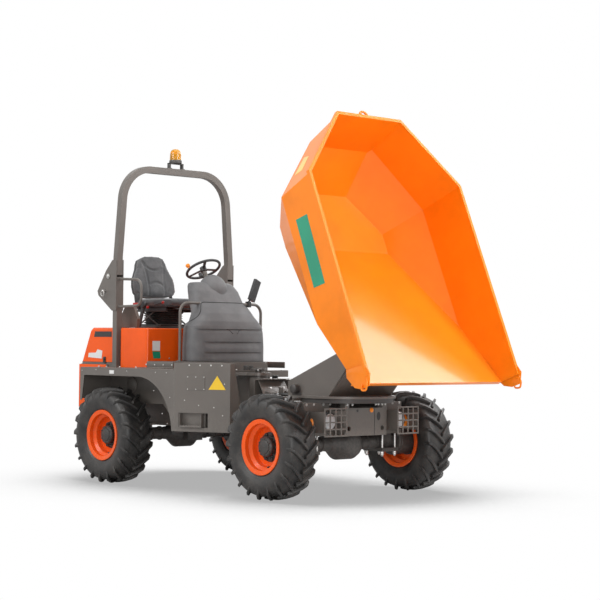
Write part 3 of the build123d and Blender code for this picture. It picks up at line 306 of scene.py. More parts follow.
lamp_glass = clear("lamp_glass", (0.90, 0.92, 0.94), 0.06, 0.12)
amber_glass = clear("amber_glass", (0.98, 0.48, 0.02), 0.12, 0.45)
reflector = metal("lamp_reflector", (0.90, 0.90, 0.90), 0.06, 0.0001)
red_plastic = moulded("red_plastic", (0.36, 0.014, 0.012), rough=0.35)
amber_plastic = moulded("amber_plastic", (0.95, 0.27, 0.015), rough=0.3, pale=1.0)
green_film = paint("green_film", (0.004, 0.29, 0.16), (0.2, 0.5, 0.35), (0.2, 0.4, 0.28), dirt=0.04,
                   peel=0.00002)
yellow_film = paint("yellow_film", (0.93, 0.60, 0.03), (0.97, 0.80, 0.35), (0.75, 0.60, 0.30), dirt=0.06,
                    peel=0.00002)
white_film = paint("white_film", (0.78, 0.78, 0.76), (0.88, 0.88, 0.88), (0.6, 0.58, 0.54), dirt=0.12,
                   peel=0.00002)


# ---------------- piece makers
bevel_above = 0.6           # edges that turn by more than this, in radians, are rounded
film_gap, film_thickness = 0.0004, 0.0009


@contextmanager
def opened(mesh):
    """A mesh opened for editing, and written back afterwards."""
    work = bmesh.new()
    work.from_mesh(mesh)
    yield work
    work.to_mesh(mesh)
    work.free()


def placed(name, data):
    """A new object in the scene."""
    made = bpy.data.objects.new(name, data)
    bpy.context.scene.collection.objects.link(made)
    return made


def piece(name, points, faces, finish, body, smooth=False, stands_for=()):
    """A mesh piece that rides on a body and takes its slot's finish."""
    mesh = bpy.data.meshes.new(name)
    mesh.from_pydata([tuple(p) for p in points], [], faces)
    mesh.validate()
    with opened(mesh) as work:
        bmesh.ops.recalc_face_normals(work, faces=work.faces)
    made = placed(name, mesh)
    mesh.materials.append(finish)
    for face in mesh.polygons:
        face.use_smooth = smooth
    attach(made, body)
    if stands_for:
        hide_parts(*stands_for)
    return made


def applied(made):
    """Turns the object's modifiers into its mesh."""
    graph = bpy.context.evaluated_depsgraph_get()
    shaped = bpy.data.meshes.new_from_object(made.evaluated_get(graph))
    made.modifiers.clear()
    made.data = shaped


def modified(made, kind, **settings):
    """Adds a modifier and applies it to the mesh."""
    modifier = made.modifiers.new(kind.title(), kind)
    for name, value in settings.items():
        setattr(modifier, name, value)
    applied(made)


def shade_by_angle(made, degrees):
    """Smooth shading with sharp edges above an angle."""
    with opened(made.data) as work:
        for face in work.faces:
            face.smooth = True
        for edge in work.edges:
            edge.smooth = len(edge.link_faces) == 2 and edge.calc_face_angle(0) < math.radians(degrees)


class Shape:
    """Points and faces collected for one mesh."""

    def __init__(self):
        self.points, self.faces = [], []

    def add(self, points, faces):
        base = len(self.points)
        self.points += [Vector(p) for p in points]
        self.faces += [[base + i for i in face] for face in faces]
        return self

    def box(self, low, high):
        (x0, y0, z0), (x1, y1, z1) = low, high
        corners = [(x, y, z) for z in (z0, z1) for x, y in ((x0, y0), (x1, y0), (x1, y1), (x0, y1))]
        return self.add(corners, [(0, 3, 2, 1), (4, 5, 6, 7), (0, 1, 5, 4), (1, 2, 6, 5), (2, 3, 7, 6),
                                  (3, 0, 4, 7)])

    def loft(self, rings):
        """Joins closed rings of equal point count and caps both ends."""
        count = len(rings[0])
        points = [p for ring in rings for p in ring]
        faces = []
        for r in range(len(rings) - 1):
            for i in range(count):
                j = (i + 1) % count
                faces.append((r * count + i, r * count + j, (r + 1) * count + j, (r + 1) * count + i))
        faces.append(tuple(range(count))[::-1])
        faces.append(tuple(range((len(rings) - 1) * count, len(rings) * count)))
        return self.add(points, faces)

    def slab(self, outline, shift):
        """A flat outline thickened by the shift vector."""
        shift = Vector(shift)
        return self.loft([[Vector(p) for p in outline], [Vector(p) + shift for p in outline]])

    def turned(self, profile, centre, axis, sides=32):
        """A profile of (along, radius) turned round an axis; radius 0 closes the end."""
        axis = Vector(axis).normalized()
        out = axis.orthogonal().normalized()
        other = axis.cross(out)
        return self.loft([[Vector(centre) + axis * along + (out * c + other * s) * max(radius, 1e-5)
                           for c, s in circle(sides)] for along, radius in profile])

    def bolts(self, places, normal, size, height, washer=True):
        """Hexagon heads with washers."""
        for place in places:
            if washer:
                self.turned([(0, size * 1.45), (height * 0.25, size * 1.45)], place, normal, 20)
            self.turned([(height * 0.25, size), (height * 0.85, size), (height, size * 0.82)], place, normal,
                        6)
        return self

    def tube(self, path, radius, sides=16):
        """A round tube along a path of points."""
        path = [Vector(p) for p in path]
        rings, across = [], None
        for i, point in enumerate(path):
            ahead = path[min(i + 1, len(path) - 1)] - path[max(i - 1, 0)]
            ahead.normalize()
            if across is None:
                across = ahead.orthogonal().normalized()
            across = (across - ahead * across.dot(ahead)).normalized()
            other = ahead.cross(across)
            rings.append([point + (across * c + other * s) * radius for c, s in circle(sides)])
        return self.loft(rings)

    def make(self, name, finish, body, slot=None, width=0.0, segments=2, sharp=40, stands_for=()):
        """The piece itself, with edges rounded to the width and shading that breaks above the sharp angle."""
        made = piece(name, self.points, self.faces, finish, body, False, stands_for)
        if width:
            modified(made, "BEVEL", width=width, segments=segments, limit_method="ANGLE",
                     angle_limit=bevel_above)
        shade_by_angle(made, sharp)


def eased(points, radius, steps=6):
    """A polyline with its inner corners rounded."""
    points = [Vector(p) for p in points]
    path = [points[0]]
    for before, corner, after in zip(points, points[1:], points[2:]):
        run_in, run_out = before - corner, after - corner
        reach = min(radius, run_in.length * 0.48, run_out.length * 0.48)
        start, end = corner + run_in.normalized() * reach, corner + run_out.normalized() * reach
        for k in range(steps + 1):
            t = k / steps
            path.append(start * (1 - t) ** 2 + corner * 2 * t * (1 - t) + end * t ** 2)
    return path + [points[-1]]


def mirrored(points, hand, lift=0.0):
    """Points drawn on the right, carried to the given hand's side and lifted."""
    return [Vector((x, y if hand < 0 else -y, z + lift)) for x, y, z in points]


def film(name, outline, normal, finish, body):
    """A thin film laid just off a plate."""
    normal = Vector(normal).normalized()
    Shape().slab([Vector(p) + normal * film_gap for p in outline], normal * film_thickness).make(name, finish,
                                                                                                 body)


# finish, body and slot that several pieces share
seat_trim = (black_plastic, "engine_hood", "seat_panel")
deck_paint = (chassis, "rear_chassis", "frame_paint")
skip_look = (orange, "skip", "skip_paint")
rear_fasteners = (zinc, "rear_chassis", None)
front_lamp = ("front_chassis", "lamp")
rear_lamp = ("rear_chassis", "lamp")
beacon_body = ("rops_hoop", "beacon_lens")

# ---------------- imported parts' finishes
part_finishes = {
    "tyre": tyre_rubber, "rim": rim_orange, "hub": hub_paint, "skip": orange, "engine_hood": hood_orange,
    "seat_box": hood_orange, "rear_panel": hood_orange, "seat_side_panel": brown_panel,
    "seat_suspension": black_plastic, "seat": seat_cloth, "console": plastic, "mirror": black_plastic,
    "headlamp": black_plastic, "beacon": black_plastic, "steering_wheel": black_plastic,
    "tip_cylinder_rod": chrome, "steer_cylinder_rod": chrome, "engine_block": cast, "front_axle": dark_paint,
    "rear_axle": dark_paint, "slew_ring": dark_paint, "tip_cylinder_barrel": dark_paint,
    "steer_cylinder_barrel": dark_paint,
}
for name, node in nodes.items():
    starts = [start for start in part_finishes if name.startswith(start)]
    finish = part_finishes[max(starts, key=len)] if starts else chassis
    for slot in node.material_slots:
        slot.material = finish


# ---------------- tyres
wheels = {name.removeprefix("wheel_"): Vector(joint["pos_m"]) for name, joint in joints.items()
          if name.startswith("wheel_")}
lug_count = 20
carcass_steps = 120
# carcass: distance from the wheel's middle, radius
carcass = [(0.100, 0.1948), (0.112, 0.198), (0.113, 0.215), (0.119, 0.228), (0.128, 0.236), (0.130, 0.243),
           (0.139, 0.262), (0.1465, 0.290), (0.1485, 0.315), (0.1460, 0.340), (0.139, 0.362), (0.124, 0.380),
           (0.095, 0.3895), (0.050, 0.394), (0.0, 0.395)]
# a lug, from the tread's middle to low on the side: foot and top (out, radius), half widths, sweep
lug_stations = [
    ((-0.010, 0.385), (-0.008, 0.4200), 0.017, 0.0115, 0.000),
    ((0.015, 0.385), (0.015, 0.4225), 0.018, 0.0125, 0.050),
    ((0.055, 0.383), (0.055, 0.4225), 0.018, 0.0125, 0.140),
    ((0.095, 0.378), (0.097, 0.4180), 0.018, 0.0125, 0.225),
    ((0.120, 0.366), (0.130, 0.4100), 0.017, 0.0120, 0.285),
    ((0.134, 0.345), (0.1490, 0.3860), 0.016, 0.0110, 0.312),
    ((0.140, 0.325), (0.1495, 0.3560), 0.013, 0.0080, 0.326),
    ((0.144, 0.306), (0.1485, 0.3260), 0.008, 0.0040, 0.336),
]


def tyre(corner):
    """A carcass in place of the corner's packed tyre, and its lugs."""
    centre, body = wheels[corner], f"wheel_{corner}"
    profile = carcass + [(-out, r) for out, r in reversed(carcass[:-1])]
    count = len(profile)
    points = [centre + Vector((s * r, out, c * r)) for c, s in circle(carcass_steps) for out, r in profile]
    starts = [(k * count, (k + 1) % carcass_steps * count) for k in range(carcass_steps)]
    faces = [(this + i, this + i + 1, following + i + 1, following + i) for this, following in starts
             for i in range(count - 1)]
    faces += [(this, following, following + count - 1, this + count - 1) for this, following in starts]
    piece(f"carcass_{corner}", points, faces, tyre_rubber, body, True, (f"tyre_{corner}",))
    lugs = Shape()
    for side in (-1, 1):
        for k in range(lug_count):
            first = 2 * math.pi * (k + (0.5 if side > 0 else 0)) / lug_count
            rings = []
            for (foot_out, foot_r), (top_out, top_r), foot_half, top_half, sweep in lug_stations:
                ring = []
                for out, r, half in ((foot_out, foot_r, -foot_half), (top_out, top_r, -top_half),
                                     (top_out, top_r, top_half), (foot_out, foot_r, foot_half)):
                    turn = first - sweep + half / r
                    ring.append(centre + Vector((math.sin(turn) * r, side * out, math.cos(turn) * r)))
                rings.append(ring)
            lugs.loft(rings)
    lugs.make(f"lugs_{corner}", tyre_rubber, body, "tyre", 0.003, sharp=50)


for corner in wheels:
    tyre(corner)

# ---------------- console
# height, middle's station, half length, half width
console_rings = [
    (1.0755, -0.4776, 0.168, 0.4150), (1.090, -0.4776, 0.170, 0.4180), (1.200, -0.4776, 0.170, 0.4184),
    (1.330, -0.4790, 0.163, 0.4140), (1.385, -0.4810, 0.155, 0.4070), (1.430, -0.4750, 0.138, 0.3620),
    (1.500, -0.5060, 0.138, 0.3080), (1.560, -0.5500, 0.132, 0.2840), (1.598, -0.5860, 0.128, 0.2720),
    (1.700, -0.6300, 0.115, 0.2559), (1.745, -0.6600, 0.102, 0.2400), (1.768, -0.6750, 0.090, 0.2250),
    (1.779, -0.6830, 0.072, 0.2000), (1.783, -0.6880, 0.045, 0.1500),
]
# ledges moulded across the front: height, reach to the side, depth, fall
console_ledges = [(1.362, 0.400, 0.010, 0.090), (1.250, 0.335, 0.011, 0.060), (1.160, 0.330, 0.011, 0.060)]
console_corner = 3.0        # exponent of the rings' rounded outline


def console_section(z):
    """Middle, half length and half width of the console at a height, eased between the rings."""
    for (z0, *low_values), (z1, *high_values) in zip(console_rings, console_rings[1:]):
        if z <= z1:
            break
    t = min(1, max(0, (z - z0) / (z1 - z0)))
    return [a + (b - a) * t for a, b in zip(low_values, high_values)]


def console_point(turn, z, out=0.0):
    """A point of the console's surface; turn is 0 at the front and grows towards the left."""
    middle, half_length, half_width = console_section(z)
    power = 2 / console_corner
    along = math.copysign(abs(math.cos(turn)) ** power, math.cos(turn))
    across = math.copysign(abs(math.sin(turn)) ** power, math.sin(turn))
    x, y = middle + half_length * along, half_width * across
    if along > 0:
        for edge, reach, depth, fall in console_ledges:
            below = edge - z
            if 0 < below < fall:
                fade = min(1, max(0, (reach - abs(y)) / 0.05))
                x -= depth * (1 - below / fall) * fade
    return at(x + out * along, y + out * across, z)


levels = sorted({round(1.0755 + 0.0145 * k, 4) for k in range(49)} | {ring[0] for ring in console_rings}
                | {edge + step for edge, *_ in console_ledges for step in (0.0, -0.0015, -0.006)})
console_sides = 112
console_shape = Shape().loft([[console_point(2 * math.pi * (k + 0.5) / console_sides, z)
                               for k in range(console_sides)] for z in levels])
# cowl round the steering column: it swells from a narrow foot and closes round the wheel's hub
column = Vector((-0.5, 0, 0.866))
cowl_out = Vector((0, 1, 0))
cowl_front = cowl_out.cross(column)
cowl_length, cowl_half, cowl_steps = 0.275, 0.130, 14
cowl = []
for k in range(cowl_steps + 1):
    t = k / cowl_steps
    closing = math.sqrt(max(0, 1 - max(0, (t - 0.42) / 0.58) ** 2.4))
    swell = 0.55 + 0.45 * math.sin(min(1, t / 0.45) * math.pi / 2)
    wide = max(cowl_half * closing * swell, 0.004)
    centre = at(-0.560, 0, 1.600) + column * cowl_length * t
    cowl.append([centre + (cowl_out * c + cowl_front * s * 0.92) * wide for c, s in circle(56)])
console_shape.loft(cowl)
console_shape.make("console_cover", plastic, "rear_chassis", "console_plastic", sharp=28,
                   stands_for=("console",))

# seams of the covers and a strip under the skirt
seams = Shape()
for hand, _ in hands:
    side_seam = [console_point(hand * turn, z, 0.0005) for turn, z in
                 [(1.95, 1.405), (1.72, 1.425), (1.50, 1.450), (1.32, 1.480), (1.20, 1.520), (1.12, 1.565),
                  (1.02, 1.592), (0.85, 1.599)]]
    seams.tube(eased(side_seam, 0.03, 3), 0.0042, 8)
seams.tube([console_point(0.85 - 1.70 * k / 24, 1.599, 0.0005) for k in range(25)], 0.0036, 8)
seams.tube([console_point(-2.2 + 4.4 * k / 60, 1.079, 0.001) for k in range(61)], 0.0050, 8)
for hand, _ in hands:
    seams.tube([console_point(hand * turn, z, 0.0005) for turn,
                z in ((0.10, 1.361), (0.05, 1.352), (0.015, 1.322))],
               0.0030, 8)
seams.make("console_seams", black_plastic, "rear_chassis", "console_plastic")


# ---------------- seat
cloth_voxel, cloth_frames = 0.006, 14


def distance_to(point, start, end):
    """How far a point lies from a straight run."""
    span = end - start
    t = min(1, max(0, (point - start).dot(span) / span.length_squared))
    return (point - start - span * t).length


def pillow(name, outline, thickness, pressure, stands_for, lines, depth, wide):
    """A stuffed pad from a flat outline, inflated by a cloth run, then drawn in along its sewn lines."""
    shape = Shape().slab(outline, thickness)
    made = piece(name, shape.points, shape.faces, seat_cloth, "engine_hood", False,
                 (stands_for,))
    modified(made, "REMESH", mode="VOXEL", voxel_size=cloth_voxel)
    with opened(made.data) as work:
        bmesh.ops.smooth_vert(work, verts=work.verts, factor=0.5, use_axis_x=True, use_axis_y=True,
                              use_axis_z=True)
    settings = made.modifiers.new("Cloth", "CLOTH").settings
    settings.use_pressure, settings.uniform_pressure_force = True, pressure
    settings.effector_weights.gravity = 0
    settings.quality = 4
    settings.mass = 0.4
    settings.tension_stiffness = settings.compression_stiffness = 30
    settings.bending_stiffness = 1.5
    for step in range(1, cloth_frames + 1):
        bpy.context.scene.frame_set(step)
    applied(made)
    bpy.context.scene.frame_set(1)
    for line in lines:
        path = [Vector(p) for p in line]
        for vertex in made.data.vertices:
            nearest = min(distance_to(vertex.co, a, b) for a, b in zip(path, path[1:]))
            pull = math.exp(-(nearest / wide) ** 2)
            if pull > 0.02:
                vertex.co -= vertex.normal * depth * pull
    made.data.update()
    for face in made.data.polygons:
        face.use_smooth = True


def both_halves(half):
    """A half outline of (out, along) followed back down its mirror image."""
    return half + [(-out, along) for out, along in reversed(half[1:-1])]


# backrest: drawn in its own plane (to the left, up the back), leaning
back_lean = Vector((-0.235, 0, 0.972)).normalized()
back_face = Vector((0.972, 0, 0.235)).normalized()
back_foot = at(-1.500, 0, 1.655)


def on_back(y, up, out=0.0):
    return back_foot + Vector((0, y, 0)) + back_lean * up + back_face * out


back_half = [(0.000, 0.000), (0.120, 0.002), (0.195, 0.012), (0.222, 0.045), (0.228, 0.110), (0.218, 0.170),
             (0.190, 0.225), (0.165, 0.275), (0.150, 0.325), (0.128, 0.365), (0.085, 0.384), (0.000, 0.388)]
bolster_half = [(0.095, 0.005), (0.092, 0.100), (0.098, 0.200), (0.112, 0.270), (0.128, 0.330)]
sewn_out = 0.07             # the sewn lines are drawn this far out of the plane
bolsters = [[on_back(hand * y, up, sewn_out) for y, up in bolster_half] for hand, _ in hands]
smile = [on_back(0.118 * math.sin(a), 0.335 - 0.088 * math.cos(a), sewn_out)
         for a in (-1.45 + 2.9 * k / 12 for k in range(13))]
lumbar = [on_back(0.080 * math.sin(a), 0.085 + 0.045 * math.cos(a), sewn_out)
          for a in (-1.0 + 2.0 * k / 8 for k in range(9))]
pillow("backrest_pad", [on_back(y, up) for y, up in both_halves(back_half)], back_face * 0.062, 2.2,
       "seat_back",
       [*bolsters, smile, lumbar], 0.010, 0.011)
cushion_half = [(0.000, -1.505), (0.150, -1.500), (0.215, -1.460), (0.235, -1.380), (0.240, -1.150),
                (0.232, -1.050),
                (0.190, -1.008), (0.090, -0.998), (0.000, -0.996)]
cushion_lines = [[at(x, hand * y, 1.640) for y, x in ((0.120, -1.47), (0.135, -1.30), (0.140, -1.12),
                                                      (0.110, -1.03))]
                 for hand, _ in hands]
cushion_lines.append([at(-1.215, y, 1.640) for y in (-0.135, 0, 0.135)])
pillow("seat_pad", [at(x, y, 1.578) for y, x in both_halves(cushion_half)], Vector((0, 0, 0.052)), 2.0,
       "seat_cushion", cushion_lines, 0.007, 0.010)

# shell behind the backrest and pan under the seat
shell_outline = both_halves([(y * 0.97, up * 0.985 + 0.004) for y, up in back_half])
Shape().loft([[on_back(y * scale, up, out) for y, up in shell_outline] for scale, out in
              ((1.0, -0.002), (1.0, -0.030), (0.93, -0.046), (0.70, -0.055))]).make(
    "backrest_shell", *seat_trim, 0.004)
pan = Shape().box(at(-1.490, -0.225, 1.5620), at(-1.015, 0.225, 1.5785))
for hand, _ in hands:
    pan.box(at(-1.480, hand * 0.190 - 0.012, 1.520), at(-1.060, hand * 0.190 + 0.012, 1.5620))
    pan.slab(at_side(hand * 0.200, (-1.500, 1.545), (-1.440, 1.545), (-1.520, 1.800), (-1.545, 1.800)),
             (0, hand * 0.010, 0))
pan.make("seat_pan", *seat_trim, 0.003)

# scissor arms, damper and rods of the seat's carrier, with its bellows
carrier = Shape()
for hand, _ in hands:
    for low_x, high_x in ((-1.495, -1.205), (-1.205, -1.495)):
        carrier.slab(at_side(hand * 0.165, (low_x - 0.014, 1.398), (low_x + 0.014, 1.398),
                             (high_x + 0.014, 1.555),
                             (high_x - 0.014, 1.555)), (0, hand * 0.008, 0))
    carrier.box(at(-1.515, hand * 0.165 - 0.014, 1.3905), at(-1.185, hand * 0.165 + 0.014, 1.402))
carrier.tube([at(-1.46, -0.06, 1.41), at(-1.26, -0.06, 1.545)], 0.017)
for x, z in ((-1.495, 1.402), (-1.350, 1.4765), (-1.205, 1.402)):
    carrier.tube(at_station(x, (-0.175, z), (0.175, z)), 0.008)
carrier.box(at(-1.515, -0.200, 1.3705), at(-1.190, 0.200, 1.3905))
carrier.make("seat_carrier", dark_paint, "engine_hood", "suspension", 0.002, stands_for=("seat_suspension",))
bellows = []
bellows_folds = 16
for k in range(bellows_folds + 1):
    grow = 0.010 * (1 if k % 2 else -1)
    z = 1.392 + 0.168 * k / bellows_folds
    bellows.append([at(x, y, z) for x, y in [(-1.470 - grow, -0.125 - grow), (-1.230 + grow, -0.125 - grow),
                                             (-1.230 + grow, 0.125 + grow), (-1.470 - grow, 0.125 + grow)]])
Shape().loft(bellows).make("seat_bellows", hose_rubber, "engine_hood", "suspension", 0.003, sharp=50)

# seat's levers, knobs and belt buckle
levers = Shape()
levers.tube(eased([at(-1.16, -0.245, 1.585), at(-1.13, -0.272, 1.580), at(-1.03, -0.272, 1.600)], 0.02),
            0.007)
levers.tube(eased([at(-1.05, -0.12, 1.555), at(-0.985, -0.12, 1.545), at(-0.975, 0.10, 1.545),
                   at(-1.05, 0.10, 1.555)], 0.03), 0.006)
levers.slab(at_side(-0.262, (-1.400, 1.380), (-1.360, 1.380), (-1.285, 1.600), (-1.325, 1.610)),
            (0, 0.012, 0))
levers.turned([(0, 0.034), (0.018, 0.034), (0.024, 0.028)], at(-1.300, -0.262, 1.585), (0, -1, 0), 28)
levers.make("seat_levers", *seat_trim, 0.0015)
knobs = Shape()
knobs.turned([(0, 0.007), (0.004, 0.012), (0.022, 0.012), (0.026, 0.007)], at(-1.230, -0.262, 1.560),
             (0, -1, 0), 20)
knobs.box(at(-1.480, -0.254, 1.572), at(-1.400, -0.240, 1.604))
knobs.turned([(0, 0.007), (0.004, 0.011), (0.020, 0.011), (0.024, 0.007)], at(-1.020, -0.272, 1.600),
             (1, 0, 0.2), 20)
knobs.make("seat_knobs", red_plastic, "engine_hood", "seat_panel", 0.0015)
strap = Shape().slab([at(-1.455, -0.235, 1.560), at(-1.430, -0.245, 1.560), at(-1.385, -0.245, 1.640),
                      at(-1.415, -0.235, 1.652)], (0, 0.004, 0))
strap.box(at(-1.425, -0.255, 1.630), at(-1.375, -0.233, 1.690))
strap.make("seat_belt_buckle", *seat_trim, 0.002)

# ---------------- films and hooks on the skip
stripe = [at(1.354, -0.824, 2.202), at(1.493, -0.837, 2.241), at(1.700, -0.835, 1.703),
          at(1.565, -0.823, 1.668)]
warning = [at(1.238, -0.583, 2.730), at(1.128, -0.531, 2.730), at(1.177, -0.680, 2.568),
           at(1.285, -0.700, 2.606)]
bracket = [at(1.955, -0.8430, 1.045), at(2.170, -0.8630, 1.090), at(2.222, -0.8620, 1.030),
           at(2.216, -0.8580, 0.935),
           at(2.133, -0.8520, 0.905), at(2.053, -0.8460, 0.912), at(1.958, -0.8400, 0.985)]
hook_bends = [(0, 0, 0), (0.012, 0.022, -0.030), (0.004, 0.020, -0.085), (-0.050, 0.016, -0.088),
              (-0.052, 0.010, -0.045)]
for hand, side in hands:
    out = Vector((-0.08, hand, -0.03)).normalized()
    film(f"stripe_{side}", mirrored(stripe, hand), out, green_film, "skip")
    film(f"warning_film_{side}", mirrored(warning, hand), (-0.35, hand * 0.74, 0.57), yellow_film, "skip")
    plate = Shape().slab([p + out * 0.002 for p in mirrored(bracket, hand)], out * 0.008)
    plate.make(f"corner_plate_{side}", *skip_look, 0.002)
    # hook bent from round bar at the lip's corner, and its weld
    foot = at(2.195, hand * 0.862, 0.985)
    hook = Shape().tube(eased([foot + Vector((x, hand * y, z)) for x, y, z in hook_bends], 0.018, 5), 0.0075,
                        12)
    hook.turned([(-0.006, 0.010), (0.0, 0.0145), (0.004, 0.0145), (0.010, 0.009)], foot, (0, hand, 0), 14)
    hook.make(f"lip_hook_{side}", *skip_look, 0.001, sharp=50)

# lifting eye on the rear of the rim
rim_out, rim_up = Vector((-0.389, 0, 0.921)), Vector((0.921, 0, 0.389))
eye_foot = at(1.318, -0.060, 3.0965)
eye_steps = 20
half_turn = [(math.cos(math.pi * k / eye_steps), math.sin(math.pi * k / eye_steps))
             for k in range(eye_steps + 1)]
outer = [eye_foot + Vector((0, c * 0.050, 0)) + rim_out * (s * 0.040) for c, s in half_turn]
inner = [eye_foot + Vector((0, c * 0.024, 0)) + rim_out * (0.004 + s * 0.020) for c, s in half_turn]
eye = Shape()
for k in range(eye_steps):
    eye.slab([outer[k], outer[k + 1], inner[k + 1], inner[k]], rim_up * 0.012)
eye.make("lifting_eye", *skip_look, 0.0015, sharp=60)

# ---------------- beacon
upwards = (0, 0, 1)
beacon_middle = (-1.185, -0.005)
beacon = Shape().box(at(-1.205, -0.085, 2.8850), at(-1.165, 0.075, 2.8925))
for y in (-0.085, 0.063):
    beacon.box(at(-1.205, y, 2.8405), at(-1.165, y + 0.012, 2.8925))
    beacon.box(at(-1.210, y - 0.012, 2.8402), at(-1.160, y + 0.022, 2.8460))
beacon.turned([(0, 0.056), (0.004, 0.058), (0.026, 0.058), (0.030, 0.055)], at(*beacon_middle, 2.8925),
              upwards, 48)
beacon.turned([(0, 0.030), (0.012, 0.026), (0.050, 0.012), (0.062, 0.0)], at(*beacon_middle, 2.9235), upwards,
              24)
beacon.bolts(at_station(-1.185, (-0.074, 2.8925), (0.068, 2.8925)), upwards, 0.006, 0.005)
beacon.make("beacon_base", cast, *beacon_body, 0.0015, sharp=45, stands_for=("beacon",))
dome = Shape().turned([(0.0, 0.054), (0.006, 0.0535), (0.030, 0.0525), (0.062, 0.050), (0.080, 0.046),
                       (0.092, 0.038),
                       (0.099, 0.026), (0.1025, 0.012), (0.1035, 0.0)], at(*beacon_middle, 2.9228), upwards,
                      64)
for k in range(5):
    dome.turned([(0, 0.0538 - 0.0009 * k), (0.002, 0.0555 - 0.0009 * k), (0.004, 0.0538 - 0.0009 * k)],
                at(*beacon_middle, 2.930 + 0.012 * k), upwards, 64)
dome.make("beacon_dome", amber_glass, *beacon_body, sharp=50)
bulb = Shape().turned([(0.0, 0.030), (0.010, 0.036), (0.055, 0.036), (0.066, 0.020), (0.070, 0.0)],
                      at(*beacon_middle, 2.934), upwards)
bulb.make("beacon_bulb", amber_plastic, *beacon_body, sharp=50)

# ---------------- front lamps
forwards = (1, 0, 0)
for hand, side in hands:
    centre = at(1.180, hand * 0.395, 0.622)
    cup = Shape().turned([(0.0, 0.030), (0.002, 0.040), (0.040, 0.062), (0.090, 0.071), (0.128, 0.072),
                          (0.134, 0.0705), (0.134, 0.0655), (0.126, 0.0655), (0.120, 0.0640)], centre,
                         forwards, 48)
    cup.box(centre + Vector((0.0, -0.020, -0.085)), centre + Vector((0.050, 0.020, -0.055)))
    cup.bolts([centre + Vector((0.100, 0.072 * math.sin(a), 0.072 * math.cos(a))) for a in (0.6, 2.2, 4.2)],
              forwards, 0.004, 0.006)
    cup.make(f"headlamp_cup_{side}", black_plastic, *front_lamp, 0.0012, sharp=45,
             stands_for=(f"headlamp_{side}",))
    bowl = Shape().turned([(0.062, 0.0), (0.064, 0.016), (0.080, 0.040), (0.100, 0.056), (0.118, 0.0635),
                           (0.119, 0.0635), (0.1195, 0.0620)], centre, forwards, 48)
    bowl.make(f"headlamp_bowl_{side}", reflector, *front_lamp, sharp=50)
    lens = Shape().turned([(0.1205, 0.0640), (0.1310, 0.0640), (0.1400, 0.0550), (0.1450, 0.0380),
                           (0.1475, 0.0180),
                           (0.1480, 0.0)], centre, forwards, 48)
    lens.make(f"headlamp_lens_{side}", lamp_glass, *front_lamp, sharp=50)
    # side marker beside it, on an arm
    marker = at(1.235, hand * 0.500, 0.605)
    arm = Shape().box(marker + Vector((-0.055, -0.012, -0.030)), marker + Vector((-0.010, 0.012, 0.030)))
    arm.turned([(-0.012, 0.050), (-0.010, 0.060), (0.006, 0.062), (0.010, 0.058)], marker, forwards, 40)
    arm.make(f"marker_body_{side}", black_plastic, *front_lamp, 0.0015, sharp=45)
    amber = Shape().turned([(0.0102, 0.058), (0.020, 0.058), (0.034, 0.050), (0.042, 0.034), (0.045, 0.016),
                            (0.046, 0.0)], marker, forwards, 40)
    amber.make(f"marker_lens_{side}", amber_plastic, *front_lamp, sharp=50)
    # bright studs that clamp the front axle, with their nuts
    studs = Shape()
    for dx in (-0.090, 0.090):
        for dy in (-0.075, 0.075):
            foot = at(axle_station + dx, hand * 0.450 + dy, 0.3080)
            for profile, sides in (([(0.0, 0.0088), (0.002, 0.0098), (0.188, 0.0098), (0.190, 0.0092)], 16),
                                   ([(0.026, 0.017), (0.040, 0.017), (0.042, 0.015)], 6),
                                   ([(0.0425, 0.020), (0.0455, 0.020)], 20),
                                   ([(0.010, 0.016), (0.024, 0.017), (0.0255, 0.015)], 6)):
                studs.turned(profile, foot, upwards, sides)
    studs.make(f"axle_studs_{side}", zinc, "front_chassis", None, 0.001)

# front plate: reflector, painted shade of a hole and an oval hole, a black line at its fold, deck bolts above
amber_disc = Shape().turned([(0.0005, 0.019), (0.006, 0.019), (0.009, 0.015), (0.010, 0.0)],
                            at(1.320, 0.062, 0.706), forwards, 28)
amber_disc.make("front_reflector", amber_plastic, *front_lamp, sharp=50)
# black disc and black oval: painted shade in a small hole and an oval hole; thin black box: a line at the
# fold
marks = Shape().turned([(0.0003, 0.011), (0.0022, 0.011), (0.0024, 0.0)], at(1.320, -0.097, 0.703), forwards,
                       20)
marks.slab([at(1.3204, 0.146 + 0.020 * c, 0.655 + 0.035 * s) for c, s in circle(24)], (0.0016, 0, 0))
marks.box(at(1.3203, 0.0985, 0.505), at(1.3225, 0.1010, 0.742))
marks.make("front_plate_hole_shade_and_line", black_plastic, "front_chassis")
bolts = Shape()
bolts.bolts([at(front_plate, y, 0.7535) for y in (-0.215, -0.157, 0.110, 0.140, 0.185, 0.220)], forwards,
            0.0075, 0.008)
bolts.bolts([at(1.1805, hand * y, 0.7535) for hand, _ in hands for y in (0.270, 0.345, 0.450, 0.530)],
            forwards, 0.0075, 0.008)
bolts.bolts([at(1.250, hand * 0.5402, z) for hand, _ in hands for z in (0.560, 0.680)], upwards, 0.001, 0.001,
            False)
for hand, _ in hands:
    bolts.bolts([at(1.215, hand * 0.5403, z) for z in (0.560, 0.680)], (0, hand, 0), 0.007, 0.007)
bolts.make("front_bolts", zinc, "front_chassis", None, 0.0006, 1)

